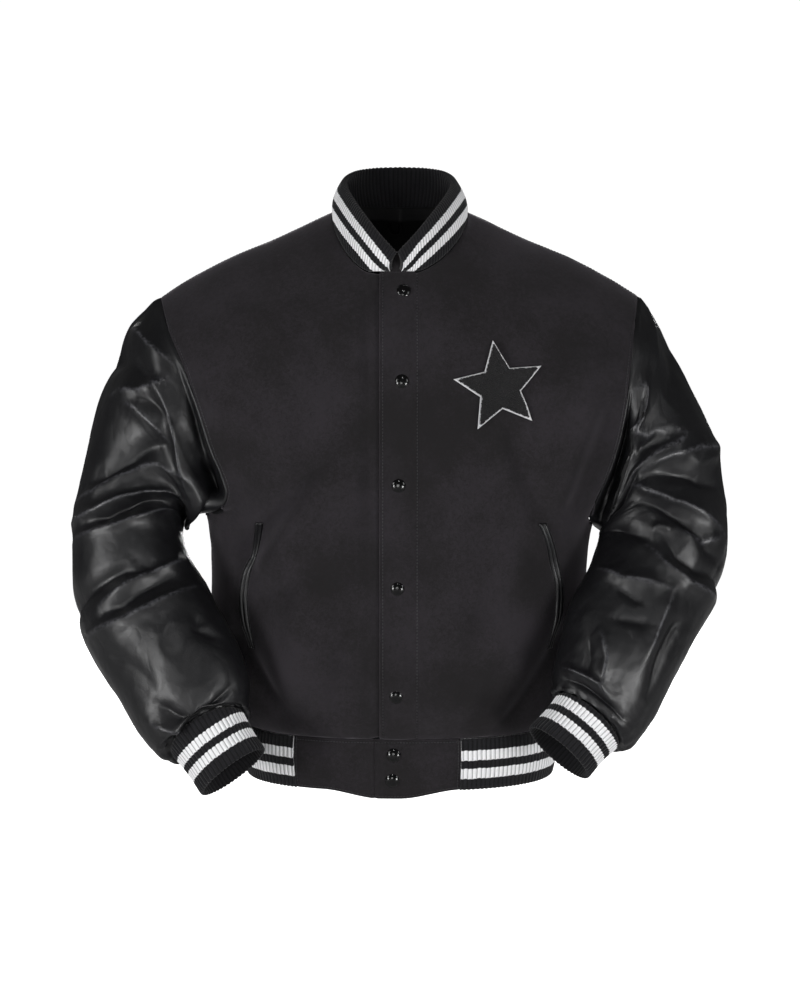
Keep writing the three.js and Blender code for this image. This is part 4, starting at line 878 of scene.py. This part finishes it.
# Sleeves
def sleeve(side, side_name, count=196):
    shares = np.concatenate([
        [0, 0.003, 0.007, 0.013], np.linspace(0.02, 0.975, 220), [0.982, 0.989, 0.995, 1],
    ])
    grid = sleeve_grid(side, count, shares)
    normals = grid_normals(grid, True)
    end = shares[:, None]
    along = np.repeat(end * LENGTH, count, 1)
    around = np.repeat(np.arange(count)[None] / count * AROUND, len(shares), 0)
    seed = 21 if side < 0 else 31
    fold, crest = creases(side_name, along, around)
    for step, (height, down, across, wrap) in enumerate(
            ((1.5, 44, 45, 10), (0.5, 15, 15, 30), (0.16, 6, 6.25, 72))):
        fold += height * soft_noise(along / down + 3, around / across, seed + step, wrap)
    fold = fold * smooth(end, 0, 0.022) * smooth(1 - end, 0, 0.03)
    flat = 0 * along + 0.5
    pleat = soft_noise(around / 11.25 + 0 * along, flat, seed + 3)
    sway = soft_noise(along / 30 + 3, around / 45, seed + 4, 10)
    wave = np.sin(around / AROUND * 2 * math.pi * 15 + 1.5 * sway)
    gather = (0.55 * wave + 0.8 * pleat) * smooth(end, 0.86, 0.97) * smooth(1 - end, 0, 0.012)
    blouse = 3.2 * smooth(end, 0.88, 0.95) * smooth(1 - end, 0, 0.035)
    ease = soft_noise(flat, around / 15, seed + 5, 30) * smooth(end, 0.004, 0.015)
    fold = fold + 1.5 * gather + blouse + 0.9 * ease * (1 - smooth(end, 0.015, 0.06))
    grid = grid + normals * fold[..., None]
    grid = roll_in(grid, grid_normals(grid, True), "low", 1.0, 2.4)
    grid = roll_in(grid, grid_normals(grid, True), "high", 1.2, 2.6)
    # The crests go into the fold attribute, where the leather paints its highlight.
    piece = walled(f"leather_sleeve_{side_name}", grid, grid_normals(grid, True), LEATHER_WALL,
                   True, [leather, satin], np.stack([around, along], -1) * 0.001, crest)
    settle(piece, "leather", f"sleeve_{side_name}", cut=(0.46, 0.56), held="gathered", share=0.82)


sleeve(-1, "left")
sleeve(1, "right")


# Cuffs
def cuff(side, name, count=240):
    base = sleeve_grid(side, count, np.array([0.0, 0.98, 1.0]))
    ring, out = base[-1], grid_normals(base, True)[-1]
    end = CUFF_END[name]
    outer, inner = (np.array([side * end[edge + "X"], end["depth"], end[edge + "Z"]], float)
                    for edge in ("out", "in"))
    middle, half = (outer + inner) / 2, (outer - inner) / 2
    axis = unit(middle - ring.mean(0))
    forward = unit(np.cross(axis, half))
    if forward[1] > 0:
        forward = -forward
    out = out - axis * (out @ axis)[:, None]

    def place(share, down):
        pick = lambda values: sampled(
            share % 1.0, np.arange(count + 1) / count, np.vstack([values, values[:1]]))
        angle = share * 2 * math.pi
        away = np.cos(angle)[:, None] * half + (end["round"] * np.sin(angle))[:, None] * forward
        down = (down + 0 * share)[:, None]
        point = (pick(ring) + axis * 0.3) * (1 - down) + (middle + away) * down
        waist = 1.5 * np.sin(math.pi * np.minimum(down * 1.1, 1.0))
        normal = unit(unit(pick(out)) * (1 - down) + unit(away) * down)
        return point - normal * waist, normal

    piece = rib_band(f"rib_cuff_{name}", place, 50, 8, 22, RIB_WALL, 0.9, True, cuff_knit)
    settle(piece, "rib_knit", f"cuff_{name}", cut=(0.21, 0.06), held="stretched")


cuff(-1, "left")
cuff(1, "right")

# Hem band, on a line that runs all round from the right half of the front
hem_line = np.vstack([right_half[0], back_right[0][::-1][1:], back_left[0][1:],
                      left_half[0][::-1][1:]])
hem_steps = run_length(hem_line)
ahead = np.gradient(hem_line, axis=0)
hem_out = unit(np.stack([ahead[:, 1], -ahead[:, 0], 0 * ahead[:, 0]], -1))
if np.sum(hem_out * hem_line * (1, 1, 0)) < 0:
    hem_out = -hem_out
per_half = len(COLUMNS)
rib_from = np.interp(TAB_RIGHT + 0.3, hem_line[:per_half, 0], hem_steps[:per_half])
rib_to = np.interp(TAB_LEFT - 0.3, hem_line[-per_half:, 0], hem_steps[-per_half:])


def hem_surface(point, out, down, low):
    down = down + 0 * point[:, 0]
    swell = 3 * np.sin(down * math.pi) - 4 * down
    place = point + out * swell[:, None]
    place[:, 2] = (HEM_SEAM - 0.3) * (1 - down) + low * down
    return place, out


def hem_place(share, down):
    s = rib_from + (rib_to - rib_from) * share
    return hem_surface(sampled(s, hem_steps, hem_line), unit(sampled(s, hem_steps, hem_out)),
                       down, TAB_DROOP)


settle(rib_band("rib_hem", hem_place, 150, 8, 18, RIB_WALL, 0.8, False, hem_knit),
       "rib_knit", "hem_rib", cut=(0.74, 0.062), held="stretched")


def hem_tab(name, node, start, end):
    x = np.linspace(start, end, 60)
    point = on_body(x, np.full_like(x, HEM_SEAM), -1)
    slope = np.gradient(point, axis=0)
    out = unit(np.stack([slope[:, 1], -slope[:, 0], 0 * x], -1))
    out = np.where(out[:, 1:2] > 0, -out, out)
    low = TAB_DROOP * smooth(np.abs(x - LAP_EDGE / 2), 10, 75)
    levels = np.concatenate([[0, 0.02, 0.05], np.linspace(0.1, 0.9, 16), [0.95, 0.98, 1]])
    grid = np.array([hem_surface(point, out, t, low)[0] for t in levels])
    normals = grid_normals(grid, False)
    lumps = 0.5 * soft_noise(grid[..., 0] / 22 + 9, grid[..., 2] / 18 + 9, 41)
    grid = roll_in(grid + normals * lumps[..., None], normals, "low", 0.8, 2.0)
    for which in ("high", "start", "end"):
        grid = roll_in(grid, normals, which, 0.9, 1.6)
    normals = grid_normals(grid, False)
    settle(walled(name, grid, normals, WOOL_WALL, False, [wool, wool]), "wool", node,
           cut=((end - start) * 0.001, 0.066))
    return grid, normals


tab_right = hem_tab("wool_hem_tab_right", "hem_tab_right", TAB_EDGE, TAB_RIGHT)
tab_left = hem_tab("wool_hem_tab_left", "hem_tab_left", TAB_LEFT, TAB_EDGE - 0.6)


# Collar. Its base follows the neckline and its free edge the table
def collar_base(share):
    place = np.clip(share, 0, 1) * 18
    front_start = neckline(np.array([0.0]), 1, -1, LAP_STITCH)[0]
    front_stop = neckline(np.array([0.0]), -1, -1, UNDER_START)[0]
    first, last = on_body(np.array([2.0, -11.0]), np.full(2, NECK_FRONT), -1)
    parts = [
        (0, 1, lambda t: first + (front_start - first) * t[:, None]),
        (1, 5, lambda t: neckline(t, 1, -1, LAP_STITCH)),
        (5, 9, lambda t: neckline(1 - t, 1, 1, 0)),
        (9, 13, lambda t: neckline(t, -1, 1, 0)),
        (13, 17, lambda t: neckline(1 - t, -1, -1, UNDER_START)),
        (17, 18, lambda t: front_stop + (last - front_stop) * t[:, None]),
    ]
    out = np.zeros(share.shape + (3,))
    for low, high, line in parts:
        here = (place >= low) & (place <= high)
        if here.any():
            out[here] = line((place[here] - low) / (high - low))
    return out


def collar_top(share):
    turn = 1 - np.abs(1 - 2 * share)
    side = np.where(share < 0.5, 1, -1)
    column = lambda name: table_at(COLLAR_TOP, name, turn)
    return np.stack([side * column("out") - 3 * (1 - turn), column("depth"), column("height")], -1)


def collar_place(share, up):
    share = np.asarray(share, float)
    base, top = collar_base(share), collar_top(share)
    across = collar_top(np.minimum(share + 0.01, 1)) - collar_top(np.maximum(share - 0.01, 0))
    rise = top - base
    out = unit(np.cross(across, rise))
    out = np.where((np.sum(out * base * (1, 1, 0), -1) < 0)[:, None], -out, out)
    up = (up + 0 * share)[:, None]
    point = base + rise * up + out * (4.0 * 4 * up * (1 - up)) + unit(rise) * 0.6 * (1 - up)
    return point, out


settle(rib_band("rib_collar", collar_place, 120, 8, 18, COLLAR_WALL, 0.7, False, collar_knit),
       "rib_knit", "collar", cut=(0.43, 0.056), held="stretched")

# The top of the front lap, closed in between the two ends of the collar
tongue_x = np.linspace(-15, 6, 14)
tongue_z = np.linspace(556, 581, 14)
tongue = np.array([on_body(tongue_x * (1 - 0.45 * k / 13) - 1.3 * k / 13, np.full(14, z), -1)
                   for k, z in enumerate(tongue_z)])
tongue[..., 1] = tongue[:1, :, 1] + 2.4 + (tongue_z - 556)[:, None] * 0.3
settle(walled("wool_front_top", tongue, grid_normals(tongue, False), 1.8, False, [wool, satin]),
       "wool", cut=(0.021, 0.03), held="folded", share=0.9)


# Snaps: a turned cap with a rolled rim, modelled once and copied
def model_snap():
    bpy.ops.object.select_all(action="DESELECT")
    bpy.ops.mesh.primitive_cylinder_add(vertices=48, radius=0.0073, depth=0.0014,
                                        location=(0, 0, 0.0007))
    cap = bpy.context.object
    bpy.ops.object.mode_set(mode="EDIT")
    bpy.ops.mesh.select_mode(type="FACE")
    bpy.ops.mesh.select_all(action="DESELECT")
    bpy.ops.object.mode_set(mode="OBJECT")
    for face in cap.data.polygons:
        face.select = face.normal.z > 0.9
    bpy.ops.object.mode_set(mode="EDIT")
    for inset, rise in ((0.0005, 0.00045), (0.0006, 0.00042), (0.0008, 0.00045),
                        (0.001, 0.00042), (0.0011, 0.00033), (0.0011, 0.00022),
                        (0.001, 0.00009)):
        bpy.ops.mesh.inset(thickness=inset, depth=0)
        bpy.ops.transform.translate(value=(0, 0, rise))
    bpy.ops.mesh.poke()
    bpy.ops.object.mode_set(mode="OBJECT")
    bpy.ops.object.shade_smooth_by_angle(angle=math.radians(40))
    bevel = cap.modifiers.new("rolled_rim", "BEVEL")
    bevel.width, bevel.segments, bevel.limit_method = 0.00035, 3, "ANGLE"
    bevel.angle_limit = math.radians(50)
    bpy.ops.object.modifier_apply(modifier=bevel.name)
    cap.data.materials.append(enamel)
    return cap


cap = model_snap()
for number, (x, height) in enumerate(SNAPS, 1):
    if height < HEM_SEAM:
        grid, normals = tab_right
        away = np.hypot(grid[..., 0] - x, grid[..., 2] - height)
        nearest = np.unravel_index(np.argmin(away), away.shape)
        place, out = grid[nearest], normals[nearest]
    else:
        place, out = front_place(x, height, 0.45)
    snap = cap.copy()
    snap.data = cap.data.copy()
    snap.name = f"snap_cap_{number}"
    bpy.context.scene.collection.objects.link(snap)
    turn = Vector(out).to_track_quat("Z", "Y").to_matrix().to_4x4()
    turn.translation = Vector(((place + out * 0.15) - (0, 0, HELD_HEIGHT)) * 0.001)
    snap.data.transform(turn)
    settle(snap, "snap_enamel", f"snap_{number}")
bpy.data.objects.remove(cap)


# Pocket welts
def welt(side, side_name):
    along = np.linspace(0, 1, 70)
    out_line, height_line = (table_at(WELT_LINE, name, along) for name in ("out", "height"))
    half = np.array([0.5, 1.2, 2.8, 4.2, 5.0, 5.5])
    across = 0.62 * np.concatenate([-half[::-1], [0.0], half])
    out_x = out_line[:, None] + across
    height = np.repeat(height_line[:, None], len(across), 1)
    lift = 2.3 - 1.3 * np.exp(-((across / 0.6) ** 2)) - 0.8 * smooth(np.abs(across), 2.4, 3.4)
    grid, out = front_place(side * out_x, height, lift[None, :])
    grid = grid + out * (0.25 * soft_noise(height / 9 + 5, out_x / 6, 51))[..., None]
    if side < 0:
        grid, out = grid[:, ::-1], out[:, ::-1]
    piece = walled(f"leather_welt_{side_name}", grid, out, 2.2, False, [leather, leather],
                   fold=np.zeros(grid.shape[:2]))
    settle(piece, "leather", f"pocket_welt_{side_name}", cut=(0.011, 0.142), held="folded")
    for label, at in (("inner", 4.6), ("outer", -4.6)):
        path, way = front_place(side * (out_line + at), height_line, 0.1)
        settle(stitches(f"welt_stitches_{side_name}_{label}", path, way, thread, 3.0, 2.2, 0.26),
               "leather")


welt(1, "right")
welt(-1, "left")


# Chest patch: a chenille star on a felt star
def on_patch(flat, lift):
    return front_place(PATCH["x"] + flat[..., 0], PATCH["height"] + flat[..., 1], lift)


def star_outline(size, per_edge):
    """A star's outline, closed by its first corner."""
    angles = np.radians(36 * np.arange(11) + 90 + PATCH["lean"])
    radius = size * np.where(np.arange(11) % 2, PATCH["waist"], 1)
    corners = np.stack([np.cos(angles) * radius, np.sin(angles) * radius], -1)
    share = np.arange(per_edge)[:, None] / per_edge
    edges = [a + (b - a) * share for a, b in zip(corners[:-1], corners[1:])]
    return np.vstack(edges + [corners[:1]])


def star_layer(name, size, low, high, look, crown=0.0):
    """A flat star whose top rises to a crown in the middle, with a rim down to its base."""
    shares = np.linspace(0, 1, 26)[1:]
    flat = star_outline(size, 14)[None, :-1] * shares[:, None, None]
    lift = high + crown * (1 - shares**3)[:, None] - 0.35 * (shares > 0.985)[:, None]
    top, _ = on_patch(flat, lift + 0 * flat[..., 0])
    under, _ = on_patch(flat, low)
    middle = [on_patch(np.zeros(2), rise)[0] for rise in (high + crown, low)]
    ids = np.arange(flat[..., 0].size).reshape(flat.shape[:2])
    inner, centre = ids[0], 2 * ids.size
    faces = quads(ids, close_columns=True)
    faces += quads(ids[-1] + np.array([[0], [ids.size]]), close_columns=True)
    faces += quads(ids + ids.size, close_columns=True, turned=True)
    for a, b in zip(inner.tolist(), np.roll(inner, -1).tolist()):
        faces += [[centre, b, a], [centre + 1, a + ids.size, b + ids.size]]
    points = np.concatenate([top.reshape(-1, 3), under.reshape(-1, 3), middle])
    return cloth_mesh(name, points, faces, [look])


settle(star_layer("felt_star", PATCH["felt"], 0.3, 2.3, felt), "felt", "patch_felt",
       cut=(0.094, 0.09), held="laid", share=0.37, rests_on=["wool_front_right"])
settle(star_layer("chenille_star", PATCH["chenille"] - 1.5, 2.2, 4.0, chenille, 0.8),
       "chenille", "patch_chenille", cut=(0.082, 0.078), held="laid", share=0.37,
       rests_on=["felt_star"])


def chenille_loops():
    """The pile: rows of small yarn loops that follow the star, each a low dome."""
    rng = np.random.default_rng(61)
    spots = []
    for size in np.arange(PATCH["chenille"] - 1.0, 2, -2.1):
        line = star_outline(size, 1)
        steps = run_length(line)
        spots.append(sampled(np.arange(0, steps[-1], 1.75), steps, line))
    spots = np.vstack(spots)
    spots += rng.uniform(-0.35, 0.35, spots.shape)
    rise = rng.uniform(-0.25, 0.45, len(spots))
    size = rng.uniform(0.95, 1.3, len(spots))
    centre, out = on_patch(spots, 4.2 + rise)
    sideways = unit(np.cross(out, (0, 0, 1.0)))
    upward = np.cross(sideways, out)
    points = [
        centre + (sideways * math.cos(a) + upward * math.sin(a)) * (size * wide)[:, None]
        + out * (size * high)[:, None]
        for wide, high in ((1.0, -0.6), (0.95, 0.15), (0.55, 0.8))
        for a in np.arange(6) / 6 * 2 * math.pi
    ] + [centre + out * (size * 1.05)[:, None]]
    points = np.array(points).transpose(1, 0, 2).reshape(-1, 3)
    one = quads(np.arange(18).reshape(3, 6), close_columns=True)
    one += [[12 + k, 12 + (k + 1) % 6, 18] for k in range(6)] + [[5, 4, 3, 2, 1, 0]]
    return cloth_mesh("chenille_loops", points, repeated(one, 19, len(spots)), [chenille])


settle(chenille_loops(), "chenille")
path, way = on_patch(star_outline(PATCH["felt"] - 2.2, 40), 2.35)
settle(stitches("patch_stitches", path, way, white_thread, 2.6, 2.0, 0.24), "felt")

# Lining behind the neck, with a seam below the collar, and the hanger loop on it
back_grid, back_normals = back
neck = (slice(-34, -1), slice(len(COLUMNS) - 26, len(COLUMNS) + 25))
lining_out = back_normals[neck]
lining = back_grid[neck] - lining_out * 2.75
gathers = 0.35 * soft_noise(lining[..., 0] / 12 + 9, lining[..., 2] / 60 + 9, 71)
lining = lining - lining_out * (0.2 + gathers)[..., None]
settle(walled("satin_neck_lining", lining, lining_out, 0.9, False, [satin, satin]),
       "lining", "neck_lining", cut=(0.26, 0.22), share=0.87)

# Neck tape: a folded strip over the joint of collar and body inside the neck
tape_share = np.linspace(0.05, 0.95, 150)
way = unit(collar_place(tape_share, 0.1)[0] - collar_place(tape_share, 0.0)[0])
tape = []
for rise in (0.16, 0.1, 0.04, -0.02, -0.08, -0.14):
    point, out = collar_place(tape_share, max(rise, 0.0))
    tape.append(point + way * min(rise, 0.0) * 55 - out * (6.2 + 3 * max(-rise, 0)))
tape = np.array(tape)
settle(walled("satin_neck_tape", tape, grid_normals(tape, False), 0.7, False, [satin, satin]),
       "lining", cut=(0.36, 0.016), held="folded")

part = np.linspace(-1, 1, 41)
loop_x = -6 + part * 7.5
loop_z = 612 - 10 * (1 - np.abs(part) ** 3)
slope_x = (body_depth(loop_x + 1, loop_z, 1) - body_depth(loop_x - 1, loop_z, 1)) / 2
slope_z = (body_depth(loop_x, loop_z + 1, 1) - body_depth(loop_x, loop_z - 1, 1)) / 2
loop_out = unit(np.stack([-slope_x, np.ones_like(part), -slope_z], -1))
loop_path = on_body(loop_x, loop_z, 1) - loop_out * 5.3
flat_way = unit(np.cross(loop_out, unit(np.gradient(loop_path, axis=0))))
ring = [flat_way * math.cos(a) * 1.9 + loop_out * math.sin(a) * 0.8
        for a in np.arange(12) / 12 * 2 * math.pi]
points = (loop_path[:, None] + np.array(ring).transpose(1, 0, 2)).reshape(-1, 3)
ids = np.arange(len(points)).reshape(-1, 12)
faces = quads(ids, close_columns=True) + [ids[0][::-1].tolist(), ids[-1].tolist()]
settle(cloth_mesh("hanger_loop_strap", points, faces, [satin]), "lining", "hanger_loop")


# Sewing that shows on the outside
def sew(name, sheet, which, distance, **sizes):
    path, out = beside(*sheet, which, distance)
    settle(stitches(name, path, out, thread, **sizes), "wool")


placket = int(np.argmin(np.abs(front_right[0][10, :30, 0] - LAP_STITCH)))
settle(stitches("placket_stitches", front_right[0][:, placket], front_right[1][:, placket],
                thread, lift=0.2), "wool")
sew("lap_edge_stitches", front_right, "start", 3.0)
above = lambda sheet: [values[len(LEVELS):] for values in sheet]
for label, sheet, extra in (("right", front_right, 11), ("left", front_left, 15)):
    sew(f"armhole_stitches_front_{label}", above(sheet), "end", 4.2)
    sew(f"shoulder_stitches_{label}", [values[:, extra + 25:] for values in sheet], "high", 3.6)
sew("armhole_stitches_back_right", above(back), "end", 4.2)
sew("armhole_stitches_back_left", above(back), "start", 4.2)
for label, tab in (("right", tab_right), ("left", tab_left)):
    for which in ("high", "low"):
        sew(f"tab_stitches_{label}_{which}", tab, which, 3.2, pitch=3.2)
sew("tab_stitches_right_end", tab_right, "end", 3.0, pitch=3.2)
sew("tab_stitches_left_end", tab_left, "start", 3.0, pitch=3.2)

# Camera at the photograph's angle
pitch, distance, aim_height = math.radians(7.0), 3.0, -0.2958
camera_data = bpy.data.cameras.new("view")
camera = bpy.data.objects.new("view", camera_data)
bpy.context.scene.collection.objects.link(camera)
camera.location = (0, -distance * math.cos(pitch), aim_height + distance * math.sin(pitch))
camera.rotation_euler = (math.pi / 2 - pitch, 0, 0)
camera_data.sensor_fit = "VERTICAL"
camera_data.sensor_height = 36
camera_data.lens = 98.18
bpy.context.scene.camera = camera

# Pale floor and soft studio light
bpy.context.scene.view_settings.view_transform = "Standard"
bpy.ops.mesh.primitive_plane_add(size=40, location=(0, 0, -0.98))
floor = bpy.context.object
floor.name = "studio_floor"
pale = finish_of("pale_floor", base_color=(0.5, 0.5, 0.5, 1), roughness=0.9)
tree = pale.node_tree
shader = next(n for n in tree.nodes if n.type == "BSDF_PRINCIPLED")
shader.inputs["Emission Color"].default_value = (1, 1, 1, 1)
seen = add_node(tree, "LightPath", out="Is Camera Ray")
tree.links.new(seen.socket, shader.inputs["Emission Strength"])
floor.data.materials.append(pale)

world = bpy.data.worlds.new("studio")
bpy.context.scene.world = world
world.use_nodes = True
tree = world.node_tree
backdrop = next(n for n in tree.nodes if n.type == "BACKGROUND")
backdrop.inputs["Color"].default_value = (1, 1, 1, 1)
seen = add_node(tree, "LightPath", out="Is Camera Ray")
tree.links.new(seen.ramp(0.0, 1.0, 0.07, 1.05, "LINEAR").socket, backdrop.inputs["Strength"])

# Soft boxes: place, what they aim at, width, height and watts
SOFT_BOXES = {
    "key_low": ((1.6, -1.9, -0.75), (0.05, 0, -0.42), 0.6, 0.6, 26),
    "left_low": ((-1.9, -1.9, -0.5), (0.05, 0, -0.42), 0.6, 0.6, 24),
    "front_fill": ((-0.3, -3.3, -0.3), (0, 0, -0.4), 0.9, 0.9, 13),
    "side_left": ((-2.7, -1.9, 0.75), (-0.1, 0, -0.3), 0.6, 1.2, 20),
    "side_right": ((2.7, -1.9, 0.75), (0.1, 0, -0.3), 0.6, 1.2, 12),
    "snap_light": ((0.1, -2.2, 1.9), (0, 0, -0.3), 0.28, 0.12, 7),
    "back_soft": ((0, 3.3, 0.2), (0, 0, -0.3), 2.2, 1.6, 110),
}
for name, (place, aim, width, height, power) in SOFT_BOXES.items():
    lamp = bpy.data.lights.new(name, "AREA")
    lamp.shape, lamp.size, lamp.size_y, lamp.energy = "RECTANGLE", width, height, power
    thing = bpy.data.objects.new(name, lamp)
    bpy.context.scene.collection.objects.link(thing)
    thing.location = place
    thing.rotation_euler = (Vector(aim) - Vector(place)).to_track_quat("-Z", "Y").to_euler()
